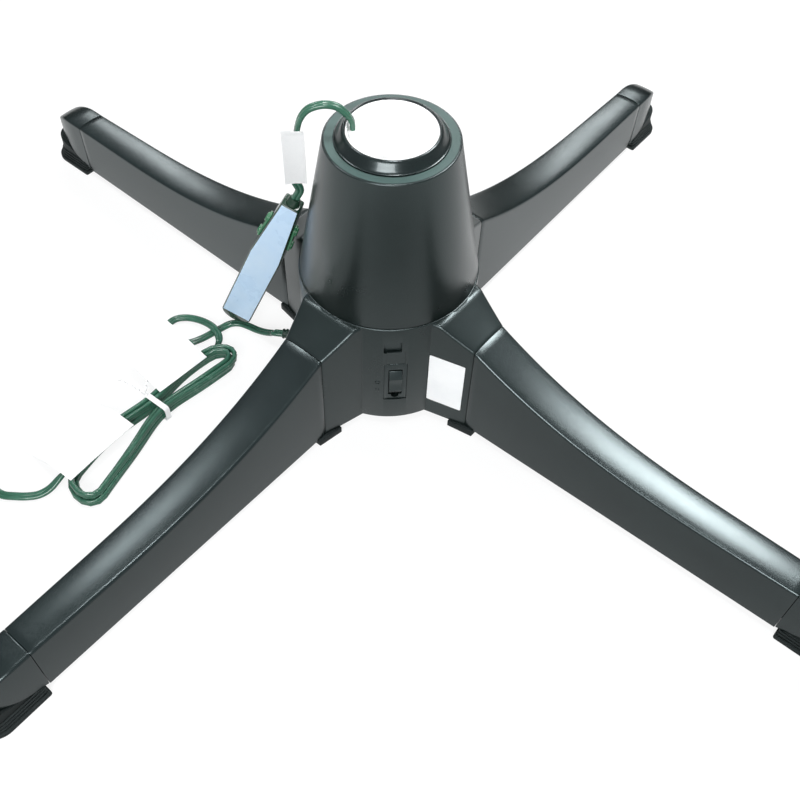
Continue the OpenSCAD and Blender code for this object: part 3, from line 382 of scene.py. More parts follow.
def light_up():
    """White to the eye, a pale room in reflections, dim low at the back, and lamps for the highlights."""
    world = bpy.data.worlds.new("studio")
    bpy.context.scene.world = world
    world.use_nodes = True
    tree = world.node_tree
    tree.nodes.clear()
    towards = add(tree, "SeparateXYZ", {0: add(tree, "TexCoord").outputs["Generated"]})
    behind = add(tree, "MapRange", {"Value": towards.outputs["Y"], 1: 0.2, 2: 0.7})
    low = add(tree, "MapRange", {"Value": towards.outputs["Z"], 1: 0.58, 2: 0.3})
    dark = add(tree, "Math", {0: behind.outputs[0], 1: low.outputs[0]}, operation="MULTIPLY")
    level = add(tree, "MapRange", {"Value": dark.outputs[0], 3: ROOM_BRIGHT, 4: ROOM_DIM})
    room = add(tree, "Background", {"Color": linear("#e6eff5"), "Strength": level.outputs[0]})
    white = add(tree, "Background", {"Color": linear(WHITE), "Strength": 1.0})
    glossy = add(tree, "LightPath").outputs["Is Glossy Ray"]
    seen = add(tree, "MixShader", {0: glossy, 1: white.outputs[0], 2: room.outputs[0]})
    dim = add(tree, "Background", {"Color": linear("#f4f7fa"), "Strength": ROOM_AMBIENT})
    both = add(tree, "MixShader", {0: by_eye(tree).outputs[0], 1: dim.outputs[0], 2: seen.outputs[0]})
    add(tree, "OutputWorld", {"Surface": both.outputs[0]})
    for name, settings in LAMPS.items():
        softbox(name, *settings)


def floor_finish():
    """Matt white paper, white to the camera apart from the stand's faint shadow.

    Plastics that mirror the floor see a pool of painted shade in front of the stand.
    """
    made = bpy.data.materials.new("white_paper_sweep")
    made.use_nodes = True
    tree = made.node_tree
    tree.nodes.clear()
    share = add(tree, "Math", {0: by_eye(tree).outputs[0], 1: 0.8}, operation="MULTIPLY")
    paper = add(tree, "BsdfDiffuse", {"Color": linear("#f2f4f5")})
    place = add(tree, "TexCoord").outputs["Object"]
    # Painted shade: the floor's glow dims in a pool in front of the stand, for reflections only
    front = add(tree, "VectorMath", {0: place, 1: POOL_AT}, operation="DISTANCE")
    pool = add(tree, "MapRange", {"Value": front.outputs["Value"], 1: POOL_FROM, 2: POOL_TO,
                                  3: POOL_DIM, 4: POOL_BRIGHT})
    glossy = add(tree, "LightPath").outputs["Is Glossy Ray"]
    level = add(tree, "MapRange", {"Value": glossy, 3: FLOOR_BRIGHT, 4: pool.outputs[0]})
    glow = add(tree, "Emission", {"Color": linear(WHITE), "Strength": level.outputs[0]})
    both = add(tree, "MixShader", {0: share.outputs[0], 1: paper.outputs[0], 2: glow.outputs[0]})
    add(tree, "OutputMaterial", {"Surface": both.outputs[0]})
    return made


def lay_floor():
    bpy.ops.object.select_all(action="DESELECT")
    bpy.ops.mesh.primitive_plane_add(size=14, location=(0, 0, -0.1 * MM))
    floor = bpy.context.active_object
    floor.name = "floor"
    floor.data.materials.append(floor_finish())
    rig.stage(floor)


# ---- Materials ----

TOOL_MARK = 0.4 * MM  # width of a tool mark on bare metal
SMOOTH_BELOW = math.radians(32)  # edges flatter than this are shaded smooth


def started(name):
    """A new material, its node tree, its shader and the coordinates of its piece."""
    made = bpy.data.materials.new(name)
    made.use_nodes = True
    tree = made.node_tree
    return made, tree, tree.nodes["Principled BSDF"], add(tree, "TexCoord").outputs["Object"]


def moulded(name, colour, pale, roughness, grain, depth, patch=35 * MM, spread=0.06, shine=0.5, coat=0.0,
            cast=WHITE):
    """A moulded plastic: spark-eroded grain from its tool, and flow patches that shift colour and gloss."""
    made, tree, shader, place = started(name)
    patches = add(tree, "TexNoise", {"Vector": place, "Scale": 1 / patch, "Detail": 3, "Roughness": 0.55})
    tint = add(tree, "ValToRGB", {"Fac": patches.outputs["Fac"]})
    tint.color_ramp.elements[0].position, tint.color_ramp.elements[0].color = 0.35, linear(colour)
    tint.color_ramp.elements[1].position, tint.color_ramp.elements[1].color = 0.75, linear(pale)
    gloss = add(tree, "MapRange", {"Value": patches.outputs["Fac"], 1: 0.3, 2: 0.7,
                                   3: roughness - spread, 4: roughness + spread})
    fine = add(tree, "TexNoise", {"Vector": place, "Scale": 1 / grain, "Detail": 2, "Roughness": 0.6})
    relief = add(tree, "Bump", {"Height": fine.outputs["Fac"], "Distance": depth, "Strength": 1.0})
    for socket, value in {"Base Color": tint.outputs[0], "Roughness": gloss.outputs[0],
                          "Normal": relief.outputs[0]}.items():
        tree.links.new(value, shader.inputs[socket])
    shader.inputs["Specular IOR Level"].default_value = shine
    shader.inputs["Specular Tint"].default_value = linear(cast)
    shader.inputs["Coat Weight"].default_value = coat
    return made


def metal(name, colour, roughness, along=(1, 1, 1)):
    """A bare metal with fine tool marks. along stretches them on one axis, as turning or rolling does."""
    made, tree, shader, place = started(name)
    stretched = add(tree, "Mapping", {"Vector": place, "Scale": along})
    marks = add(tree, "TexNoise", {"Vector": stretched.outputs[0], "Scale": 1 / TOOL_MARK, "Detail": 3})
    gloss = add(tree, "MapRange", {"Value": marks.outputs["Fac"], 1: 0.3, 2: 0.7,
                                   3: roughness - 0.08, 4: roughness + 0.1})
    relief = add(tree, "Bump", {"Height": marks.outputs["Fac"], "Distance": 0.004 * MM, "Strength": 0.6})
    tree.links.new(gloss.outputs[0], shader.inputs["Roughness"])
    tree.links.new(relief.outputs[0], shader.inputs["Normal"])
    shader.inputs["Base Color"].default_value = linear(colour)
    shader.inputs["Metallic"].default_value = 1.0
    return made


def tag_paper():
    """Uncoated white tag paper: soft fibres and a very slight cockle."""
    made, tree, shader, place = started("white_tag_paper")
    fibre = add(tree, "TexNoise", {"Vector": place, "Scale": 1 / (1.2 * MM), "Detail": 4, "Roughness": 0.7})
    tint = add(tree, "ValToRGB", {"Fac": fibre.outputs["Fac"]})
    tint.color_ramp.elements[0].color = linear("#eef0f1")
    tint.color_ramp.elements[1].color = linear("#fdfdfd")
    relief = add(tree, "Bump", {"Height": fibre.outputs["Fac"], "Distance": 0.02 * MM, "Strength": 0.5})
    tree.links.new(tint.outputs[0], shader.inputs["Base Color"])
    tree.links.new(relief.outputs[0], shader.inputs["Normal"])
    shader.inputs["Roughness"].default_value = 0.72
    return made


def make_materials():
    """Every finish on the stand, by the name of its slot in the record."""
    return {
        # Injection-moulded polypropylene with a satin spark-eroded grain: near-black green that breaks every
        # highlight up a little. The grain is drawn about a millimetre wide, coarser than it is, to show
        "housing_plastic": moulded("satin_polypropylene_hub", "#0b1210", "#101816", 0.29, 1.2 * MM, 0.07 * MM,
                                   spread=0.02, shine=0.75, cast=TEAL),
        "leg_plastic": moulded("grained_polypropylene_leg", "#0b1211", "#111918", 0.25, 1.1 * MM, 0.035 * MM,
                               spread=0.02, shine=0.75, cast=TEAL),
        # The same moulding on the flat of the rim: matt, with painted light that makes its flat top paler
        "rim_plastic": moulded("blasted_polypropylene_rim", "#3a504d", "#445b58", 0.5, 0.8 * MM, 0.03 * MM),
        # ABS from a polished tool: smooth, with one clear band of light along its slope
        "collar_plastic": moulded("polished_abs_collar", "#0c1312", "#111a18", 0.27, 1.5 * MM, 0.004 * MM,
                                  spread=0.03, coat=0.3, cast=TEAL),
        # ABS from a finely eroded tool: an even satin
        "switch_plastic": moulded("satin_abs_switch", "#0e1514", "#141c1b", 0.32, 0.9 * MM, 0.018 * MM,
                                  shine=0.75, cast=TEAL),
        # White polypropylene: slightly waxy
        "liner_plastic": moulded("white_polypropylene_liner", "#fafbfb", "#ffffff", 0.42, 1.2 * MM,
                                 0.008 * MM),
        # Thermoplastic rubber: matt, with a dusty bloom
        "foot_rubber": moulded("black_thermoplastic_rubber", "#0b0e0d", "#121615", 0.62, 1.6 * MM, 0.06 * MM,
                               shine=0.4, cast=TEAL),
        # Plasticised PVC: glossy where it is extruded, softer where it is moulded
        "lead_pvc": moulded("green_pvc_lead", "#2c5a47", "#3a6b57", 0.24, 2.5 * MM, 0.012 * MM,
                            patch=18 * MM, coat=0.25),
        "relief_pvc": moulded("satin_green_pvc", "#1a3329", "#234034", 0.36, 1.8 * MM, 0.012 * MM,
                              patch=12 * MM),
        "wire_pvc": moulded("pale_pvc_wire", "#dcdcd4", "#e8e8e2", 0.35, 1.5 * MM, 0.01 * MM),
        "block_plastic": moulded("gloss_pvc_outlet_block", "#1b3428", "#24402f", 0.2, 1.6 * MM, 0.008 * MM,
                                 coat=0.3),
        "cover_plastic": moulded("gloss_pvc_outlet_cover", "#2c6a47", "#357a53", 0.18, 1.6 * MM, 0.008 * MM,
                                 coat=0.3),
        # Cast vinyl film with a frosted laminate: flat colour and a soft sheen
        "label_film": moulded("pale_blue_vinyl_film", "#c4e0fa", "#cfe7fc", 0.3, 2.0 * MM, 0.01 * MM,
                              patch=25 * MM),
        "sticker_film": moulded("white_vinyl_film", "#f3f5f6", "#fbfcfc", 0.38, 1.5 * MM, 0.008 * MM),
        "tag_paper": tag_paper(),
        # Bright zinc plate over steel: cool grey, finely marked
        "steel": metal("zinc_plated_steel", "#b4b8ba", 0.32),
        # Machined acetal: milky and waxy
        "acetal": moulded("natural_acetal", "#d9d5c8", "#e6e2d6", 0.36, 0.9 * MM, 0.01 * MM),
        # Rolled brass and turned copper: tool marks that run one way
        "brass": metal("machined_brass", "#c3a04c", 0.28, along=(1, 1, 8)),
        "copper_ring": metal("turned_copper", "#c0714a", 0.24, along=(0.4, 0.4, 10)),
        # Pressed phenolic and graphite: dull and dense
        "ring_drum": moulded("phenolic_drum", "#4b2219", "#5a2b20", 0.45, 1.1 * MM, 0.02 * MM),
        "carbon": moulded("graphite_brush", "#1a1a1c", "#232325", 0.5, 0.7 * MM, 0.03 * MM),
    }


# ---- Modelling ----


def primitive(name, operator, **settings):
    """Adds a primitive as the only selected piece and applies its place to its mesh."""
    bpy.ops.object.select_all(action="DESELECT")
    operator(**settings)
    piece = bpy.context.active_object
    piece.name = piece.data.name = name
    bpy.ops.object.transform_apply(location=True, rotation=True, scale=True)
    return piece


def box(name, low, high):
    """A block between two corners."""
    low, high = Vector(low), Vector(high)
    return primitive(name, bpy.ops.mesh.primitive_cube_add, size=1, location=(low + high) / 2,
                     scale=high - low)


def rod(name, radius, low, high, sides):
    """A cylinder between two points on its axis."""
    low, high = Vector(low), Vector(high)
    return primitive(name, bpy.ops.mesh.primitive_cylinder_add, vertices=sides, radius=radius,
                     depth=(high - low).length, location=(low + high) / 2,
                     rotation=(high - low).to_track_quat("Z", "Y").to_euler())


@contextmanager
def editing(piece):
    """Edit mode on one piece, all of it selected."""
    bpy.ops.object.select_all(action="DESELECT")
    piece.select_set(True)
    bpy.context.view_layer.objects.active = piece
    bpy.ops.object.mode_set(mode="EDIT")
    bpy.ops.mesh.select_all(action="SELECT")
    yield
    bpy.ops.object.mode_set(mode="OBJECT")


def choose(piece, kind, test):
    """In edit mode, selects only the vertices, edges or faces that pass a test."""
    bpy.ops.mesh.select_mode(type=kind)
    bpy.ops.mesh.select_all(action="DESELECT")
    mesh = bmesh.from_edit_mesh(piece.data)
    for part in {"VERT": mesh.verts, "EDGE": mesh.edges, "FACE": mesh.faces}[kind]:
        if test(part):
            part.select_set(True)
    mesh.select_flush_mode()
    bmesh.update_edit_mesh(piece.data)


def modify(piece, kind, **settings):
    """Adds a modifier and applies it."""
    modifier = piece.modifiers.new(kind.lower(), kind)
    for name, value in settings.items():
        setattr(modifier, name, value)
    bpy.context.view_layer.objects.active = piece
    bpy.ops.object.modifier_apply(modifier=modifier.name)


def combine(piece, tool, operation="DIFFERENCE"):
    """Cuts, joins or intersects a piece with a tool, and removes the tool."""
    modify(piece, "BOOLEAN", object=tool, operation=operation, solver="EXACT")
    bpy.data.objects.remove(tool)


def soften(piece, width, segments=2, angle=35):
    """Rounds every edge that is sharper than an angle."""
    modify(piece, "BEVEL", width=width, segments=segments, limit_method="ANGLE",
           angle_limit=math.radians(angle), use_clamp_overlap=True, miter_outer="MITER_ARC")


def turn(piece, degrees, place=(0, 0, 0)):
    """Turns a piece about Z and then moves it, in its mesh."""
    piece.data.transform(Matrix.Translation(place) @ Matrix.Rotation(math.radians(degrees), 4, "Z"))
    return piece


def copy_of(piece, name):
    """A copy with its own mesh."""
    made = bpy.data.objects.new(name, piece.data.copy())
    made.data.name = name
    bpy.context.scene.collection.objects.link(made)
    return made


def put_on(piece, finish, slot, nodes=(), body="base"):
    """Shades a finished piece, gives it its material and fixes it to its body."""
    bpy.ops.object.select_all(action="DESELECT")
    piece.select_set(True)
    bpy.context.view_layer.objects.active = piece
    bpy.ops.object.shade_smooth_by_angle(angle=SMOOTH_BELOW)
    piece.data.materials.clear()
    piece.data.materials.append(finish)
    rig.ride(piece, body)
    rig.slot(piece, slot)
    if nodes:
        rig.replaces(piece, *nodes)
    return piece


def spun(name, profile, steps):
    """A turned piece: a closed outline of (radius, height) points, spun about Z."""
    data = bpy.data.meshes.new(name)
    data.from_pydata([(r, 0, z) for r, z in profile],
                     [(i, (i + 1) % len(profile)) for i in range(len(profile))], [])
    piece = bpy.data.objects.new(name, data)
    bpy.context.scene.collection.objects.link(piece)
    with editing(piece):
        bpy.ops.mesh.spin(steps=steps, angle=math.tau, axis=(0, 0, 1), center=(0, 0, 0))
        bpy.ops.mesh.select_all(action="SELECT")
        bpy.ops.mesh.remove_doubles(threshold=1e-6)
        bpy.ops.mesh.dissolve_degenerate(threshold=1e-7)
        bpy.ops.mesh.normals_make_consistent(inside=False)
    return piece


def extruded(name, outline, along):
    """A flat outline of points in space, extruded along a vector into a closed solid."""
    data = bpy.data.meshes.new(name)
    data.from_pydata([Vector(p) for p in outline], [], [range(len(outline))])
    piece = bpy.data.objects.new(name, data)
    bpy.context.scene.collection.objects.link(piece)
    with editing(piece):
        bpy.ops.mesh.extrude_region_move(TRANSFORM_OT_translate={"value": Vector(along)})
        bpy.ops.mesh.select_all(action="SELECT")
        bpy.ops.mesh.normals_make_consistent(inside=False)
    return piece


def cut_across(piece, z):
    """Cuts the faces of a piece along a level plane."""
    with editing(piece):
        bpy.ops.mesh.bisect(plane_co=(0, 0, z), plane_no=(0, 0, 1))


def runs_along(edge):
    return abs(edge.verts[0].co.x - edge.verts[1].co.x) > 1e-5


def shaped_bar(name, start, end, half, top, low, edge, cuts, mouths=(), bunch=None, share=None):
    """A bar along +X whose half width, top and underside follow functions of the distance.

    Its upper edges are rounded and its top is crowned. mouths lists the ends whose rim is chamfered, bunch
    moves its rings along, and share scales the whole section.
    """
    wide, high, floor = half(start), top(start), low(start)
    piece = box(name, (start, -wide, floor), (end, wide, high))
    with editing(piece):
        choose(piece, "EDGE", runs_along)
        bpy.ops.mesh.subdivide(number_cuts=cuts)
        choose(piece, "EDGE", lambda e: runs_along(e) and min(v.co.z for v in e.verts) > high - 1e-5)
        bpy.ops.mesh.bevel(offset=edge, segments=6, profile=0.5, affect="EDGES")
        choose(piece, "EDGE", lambda e: not runs_along(e) and min(v.co.z for v in e.verts) > high - 1e-5
               and abs(e.verts[0].co.y - e.verts[1].co.y) > edge)
        bpy.ops.mesh.subdivide(number_cuts=7)
        for place in mouths:
            choose(piece, "EDGE", lambda e: max(abs(v.co.x - place) for v in e.verts) < 1e-6)
            bpy.ops.mesh.bevel(offset=0.5 * MM, segments=2, affect="EDGES")
    for v in piece.data.vertices:
        s, y, z = v.co
        if bunch:
            s = bunch(s)
        if z > high - 1.5 * edge:  # on the rounded top
            z -= CROWN * (y / wide) ** 2
        if share:
            y *= half(s) * share(s) / wide
            z = low(s) + (z - floor) * max(0, top(s) - low(s)) / (high - floor)
        else:
            flat = wide - edge
            y = y * (half(s) - edge) / flat if abs(y) < flat else y + math.copysign(1, y) * (half(s) - wide)
            z += top(s) - high if z > high - 1.5 * edge - CROWN else low(s) - floor
        v.co = s, y, z
    return piece


# ---- Hub, tower and socket ----


def arm_bar(name, start, end, inset=0.0, low=GROUND_GAP, mouths=()):
    return shaped_bar(name, start, end, lambda s: arm_half(s) - inset, lambda s: arm_top(s) - inset,
                      lambda s: low, max(EDGE_R - inset, MM), 24, mouths)


def hub_shell():
    """Round core and four flared arms, open below, with openings for the switch, its window and the lead."""
    hub = rod("hub_shell", HUB_R, (0, 0, CORE_Z), (0, 0, HUB_TOP), 192)
    soften(hub, 0.9 * MM, 3, 60)
    mouth = LEG_ROOT - SEAM
    for angle in SIDES.values():
        combine(hub, turn(arm_bar("arm", ARM_FROM, mouth, mouths=(mouth,)), angle), "UNION")
    combine(hub, rod("cavity", HUB_R - WALL, (0, 0, 0), (0, 0, HUB_TOP - WALL), 160))
    for angle in SIDES.values():
        combine(hub, turn(arm_bar("cavity", ARM_FROM - 5 * MM, LEG_ROOT + MM, WALL, 0), angle))
    combine(hub, rod("deck_hole", DECK_HOLE_R, (0, 0, 0), (0, 0, 2 * HUB_TOP), 128))
    front, back = -HUB_R - MM, 7 * MM - HUB_R
    side = SWITCH_HALF + SWITCH_FIT
    combine(hub, box("switch_hole", (-side, front, SWITCH_LOW - SWITCH_FIT),
                     (side, back, SWITCH_HIGH + SWITCH_FIT)))
    # A shallow channel joins the switch and the window
    combine(hub, box("channel", (-8 * MM, front, SWITCH_HIGH - 1.75 * MM),
                     (8 * MM, 1.2 * MM - HUB_R, WINDOW_Z[0] + MM)))
    window = box("window", (WINDOW_X[0], front, WINDOW_Z[0]), (WINDOW_X[1], back, WINDOW_Z[1]))
    soften(window, 1.5 * MM, 3)
    combine(hub, window)
    lead_hole = rod("lead_hole", GLAND_R, (HUB_R - 8 * MM, 0, EXIT_Z), (HUB_R + 4 * MM, 0, EXIT_Z), 40)
    combine(hub, turn(lead_hole, math.degrees(EXIT_ANGLE)))
    return hub


def switch_marks():
    """Raised I, O and II beside the rocker, on the round wall."""
    pitch, apart, half, tall, proud = 10.5 * MM, 1.1 * MM, 0.45 * MM, 2.1 * MM, 0.3 * MM
    aside = -11.5  # degrees round the wall from the rocker
    bars = []
    for x, z in ((0, ROCKER_Z + pitch), (-apart, ROCKER_Z - pitch), (apart, ROCKER_Z - pitch)):
        bar = box("switch_marks", (x - half, -HUB_R - proud, z - tall),
                  (x + half, 2 * proud - HUB_R, z + tall))
        soften(bar, 0.2 * MM)
        bars.append(bar)
    ring = primitive("ring", bpy.ops.mesh.primitive_torus_add, location=(0, -HUB_R, ROCKER_Z),
                     rotation=(math.pi / 2, 0, 0), major_radius=1.9 * MM, minor_radius=0.42 * MM,
                     major_segments=40, minor_segments=10)
    return turn(joined([*bars, ring]), aside)


def joined(pieces):
    """Joins separate closed solids of one moulding into one object."""
    bpy.ops.object.select_all(action="DESELECT")
    for piece in pieces:
        piece.select_set(True)
    bpy.context.view_layer.objects.active = pieces[0]
    bpy.ops.object.join()
    return pieces[0]


def arc(centre, radius, start, end, steps):
    """Points on an arc, angles in degrees."""
    angles = [math.radians(mix(start, end, k / steps)) for k in range(steps + 1)]
    return [(centre[0] + radius * math.cos(a), centre[1] + radius * math.sin(a)) for a in angles]


def tower_shell():
    """Conical shell with a flat rim, a seat for the upper bush and a screwed flange."""
    low, seat = HUB_TOP + 0.05 * MM, RIM_Z - SEAT_H
    foot_edge, rim_edge, seat_edge = 0.8 * MM, 1.4 * MM, 0.5 * MM
    rim_t, seat_wall, flange, flange_r = 3 * MM, 2.4 * MM, 3 * MM, 62 * MM
    top_r = tower_r(RIM_Z - rim_edge)
    return spun("tower", [
        (flange_r, low), *arc((TOWER_R - foot_edge, low + foot_edge), foot_edge, -90, 0, 4),
        *arc((top_r - rim_edge, RIM_Z - rim_edge), rim_edge, 8, 90, 6),
        *arc((SEAT_R + seat_edge, RIM_Z - seat_edge), seat_edge, 90, 180, 3),
        (SEAT_R, seat), (SKIRT_R + MM, seat), (SKIRT_R + MM, seat - seat_wall),
        (SEAT_R + seat_wall, seat - seat_wall), (SEAT_R + seat_wall, RIM_Z - rim_t),
        (tower_r(RIM_Z - rim_t) - WALL, RIM_Z - rim_t), (tower_r(low + flange) - WALL, low + flange),
        (flange_r, low + flange)], 192)


def rim_flat():
    """The flat of the tower's rim, around the collar: a thin skin painted paler for the light on its top."""
    low, high, edge = RIM_Z - 0.4 * MM, RIM_Z + 0.12 * MM, 0.1 * MM
    inner, outer = COLLAR_FOOT_R + 0.3 * MM, RIM_R - 1.6 * MM
    return spun("rim_flat", [(inner, low), (outer, low), (outer, high - edge), (outer - edge, high),
                             (inner + edge, high), (inner, high - edge)], 192)


def collar():
    """Glossy collar: a plain skirt in the bush, a flange over the rim and an ogee up to a rounded lip."""
    steps, skirt_low, lip = 24, 236 * MM, 0.8 * MM
    slope = [(mix(COLLAR_FOOT_R, MOUTH_R + lip, k / steps),
              mix(COLLAR_Z + 0.5 * MM, COLLAR_TOP, ease(k / steps))) for k in range(steps + 1)]
    return spun("collar", [(MOUTH_R, skirt_low), (SKIRT_R, skirt_low), (SKIRT_R, COLLAR_Z),
                           (COLLAR_FOOT_R - 0.4 * MM, COLLAR_Z), *slope,
                           *arc((MOUTH_R + lip, COLLAR_TOP - lip), lip, 105, 180, 6)], 192)


def liner():
    """White funnel that guides the pole, with the round boss that holds the output lead."""
    throat, top = BORE_TOP + 0.05 * MM, COLLAR_TOP - MM
    middle, outer = LINER_R + LINER_T / 2, LINER_R + LINER_T
    shell = spun("liner", [
        (FUNNEL_R, throat), (LINER_R - 1.2 * MM, CONE_Z - 1.4 * MM), (LINER_R, CONE_Z + 1.5 * MM),
        (LINER_R, top - 0.6 * MM), (LINER_R + 0.5 * MM, top), (outer - 0.4 * MM, top),
        (outer, top - 0.4 * MM), (outer, CONE_Z), (FUNNEL_R + CONE_T, throat)], 144)
    boss = rod("boss", GLAND_R, (GLAND_AT.x, GLAND_AT.y, BORE_TOP + 2 * MM), GLAND_AT, 40)
    soften(boss, 0.8 * MM, 3, 60)
    axis, low, high = 0.01 * MM, BORE_TOP + MM, top - MM
    inside = spun("inside", [(axis, low), (FUNNEL_R + CONE_T / 2, low), (middle, CONE_Z), (middle, high),
                             (axis, high)], 96)
    combine(boss, inside, "INTERSECT")
    combine(shell, boss, "UNION")
    return shell


# ---- Legs, caps and feet ----


def leg_bar(name, start, end, inset=0.0, low=GROUND_GAP, cuts=48, mouths=()):
    return shaped_bar(name, start, end, lambda s: leg_half(s) - inset, lambda s: top_at(s) - inset,
                      lambda s: low, max(EDGE_R - inset, MM), cuts, mouths)


def plug_in_tongue(start, end, cuts):
    """The open tongue that a leg or cap plugs in with."""
    outer = leg_bar("tongue", start, end, WALL + FIT, TONGUE_Z, cuts)
    combine(outer, leg_bar("hollow", start - MM, end - 0.6 * MM, 2 * WALL + FIT, 0, cuts))
    return outer


def leg_shell():
    """Open moulding that tapers and drops towards its tip, with cross ribs and a tongue at its root."""
    leg = leg_bar("leg", LEG_ROOT, LEG_TIP, mouths=(LEG_ROOT, LEG_TIP))
    combine(leg, leg_bar("cavity", LEG_ROOT + BULKHEAD, LEG_TIP + MM, WALL, 0))
    rib_half = 0.9 * MM
    for k in range(1, RIBS + 1):
        s = mix(LEG_ROOT, LEG_TIP, k / (RIBS + 1))
        combine(leg, leg_bar("rib", s - rib_half, s + rib_half, WALL / 2, TONGUE_Z + 2 * MM, 1), "UNION")
    combine(leg, plug_in_tongue(LEG_ROOT - TONGUE, LEG_ROOT + BULKHEAD / 2, 4), "UNION")
    boss = rod("boss", 4 * MM, (LEG_SCREW, 0, GROUND_GAP), (LEG_SCREW, 0, top_at(LEG_SCREW) - WALL), 40)
    combine(boss, rod("pilot", 1.5 * MM, (LEG_SCREW, 0, 0), (LEG_SCREW, 0, GROUND_GAP + 15 * MM), 24))
    combine(leg, boss, "UNION")
    return leg


def cap_bar(name, inset, low, end):
    """A cap's form, its rings bunched so that the nose is evenly round."""
    start = LEG_TIP + (BULKHEAD if inset else SEAM)
    nose = LEG_TIP + CAP_FLAT
    flat_share = 0.25  # of the rings, for the straight stretch

    def bunch(s):
        u = (s - start) / (end - start)
        if u < flat_share:
            return mix(start, nose, u / flat_share)
        return nose + (end - nose) * math.sin(math.pi / 2 * (u - flat_share) / (1 - flat_share))

    def top(s):
        return TIP_Z - inset - CAP_DROP * (1 - cap_share(s))

    return shaped_bar(name, start, end, lambda s: TIP_HALF - inset, top, low, max(EDGE_R - inset, MM), 44,
                      () if inset else (start,), bunch, cap_share)


def cap_shell():
    """End cap with a domed nose, its underside rising forwards."""
    cap = cap_bar("cap", 0, cap_low, LEG_TIP + CAP_LENGTH)
    combine(cap, cap_bar("cavity", WALL, lambda s: cap_low(s) - MM, LEG_TIP + CAP_LENGTH - 7 * MM))
    combine(cap, plug_in_tongue(LEG_TIP - TONGUE, LEG_TIP + BULKHEAD, 3), "UNION")
    return cap


def pad(name, inset, low, high, rim):
    """A rubber slab with a round nose, inset from the sole's outline, its edges rounded by rim."""
    half, start, end = FOOT_HALF - inset, FOOT_FROM + min(inset, MM), FOOT_TO - inset
    slab = box(name, (start, -half, low), (end, half, high))
    nose, heel = 0.93 * half, 1.8 * MM
    with editing(slab):
        for place, offset, steps in ((end, nose, 12), (start, heel, 3)):
            choose(slab, "EDGE", lambda e: max(abs(v.co.x - place) for v in e.verts) < 1e-6
                   and abs(e.verts[0].co.z - e.verts[1].co.z) > 1e-4)
            bpy.ops.mesh.bevel(offset=offset, segments=steps, affect="EDGES")
    if rim:
        soften(slab, rim, 2, 50)
    return slab


def foot():
    """Rubber boot: a sole, three ribs and a core that rises to the cap's sloping underside."""
    core = pad("foot", 5.1 * MM, 0.5 * MM, 40 * MM, 0)
    rib_t, gap, draw_in = 1.8 * MM, 0.9 * MM, 0.9 * MM
    for k in range(3):
        low = SOLE + gap + (rib_t + gap) * k
        combine(core, pad("rib", 1.9 * MM + draw_in * k, low, low + rib_t, 0.5 * MM), "UNION")
    combine(core, pad("sole", 0, 0, SOLE, 0.7 * MM), "UNION")
    low, high = cap_low(LEG_TIP) - SEAM, 60 * MM
    wide, end = 30 * MM, LEG_TIP + 2 * CAP_LENGTH
    above = extruded("above", [(LEG_TIP, -wide, low), (end, -wide, low + 2 * CAP_RISE), (end, -wide, high),
                               (LEG_TIP, -wide, high)], (0, 2 * wide, 0))
    combine(core, above)
    return core


def joint_plate():
    """Plate screwed under a leg's joint, flared as the arm above it is, with two counterbored holes."""
    wide, narrow = arm_half(PLATE_FROM) + PLATE_LIP, leg_half(PLATE_TO) + PLATE_LIP
    plate = extruded("joint_plate", [(PLATE_FROM, -wide, 0), (PLATE_TO, -narrow, 0), (PLATE_TO, narrow, 0),
                                     (PLATE_FROM, wide, 0)], (0, 0, GROUND_GAP - 0.05 * MM))
    soften(plate, 0.8 * MM)
    for s in (ARM_SCREW, LEG_SCREW):
        combine(plate, rod("hole", 1.8 * MM, (s, 0, -MM), (s, 0, 10 * MM), 32))
        combine(plate, rod("counterbore", 3.3 * MM, (s, 0, -MM), (s, 0, 2.4 * MM), 32))
    return plate


# ---- Switch ----


def bezel():
    """Switch surround: a plate with a recessed opening, a slot and two cheeks that hold the rocker's pins."""
    plate = box("bezel", (-SWITCH_HALF, 0.9 * MM - HUB_R, SWITCH_LOW),
                (SWITCH_HALF, 4.4 * MM - HUB_R, SWITCH_HIGH))
    soften(plate, 0.5 * MM)
    combine(plate, box("window_back", (WINDOW_X[0] - MM, 3.4 * MM - HUB_R, SWITCH_HIGH - 4 * MM),
                       (WINDOW_X[1] + MM, 5 * MM - HUB_R, WINDOW_Z[1] + MM)), "UNION")
    cheek_half, cheek_tall = 1.3 * MM, 6 * MM
    for side in (-1, 1):
        x = side * (ROCKER_W / 2 + 1.9 * MM)
        combine(plate, box("cheek", (x - cheek_half, 3 * MM - HUB_R, ROCKER_Z - cheek_tall),
                           (x + cheek_half, 12.5 * MM - HUB_R, ROCKER_Z + cheek_tall)), "UNION")
    half, tall, back = 5.9 * MM, 16.8 * MM, 8 * MM - HUB_R
    opening = box("opening", (-half, -HUB_R, ROCKER_Z - tall), (half, back, ROCKER_Z + tall))
    soften(opening, 0.8 * MM)
    combine(plate, opening)
    slot_z = SWITCH_LOW + 5.55 * MM
    combine(plate, rod("slot", 3.4 * MM, (0, -HUB_R, slot_z), (0, back, slot_z), 32))
    reach = 20 * MM
    combine(plate, rod("pin_hole", PIVOT_R + 0.08 * MM, (-reach, PIVOT_Y, ROCKER_Z),
                       (reach, PIVOT_Y, ROCKER_Z), 32))
    return plate


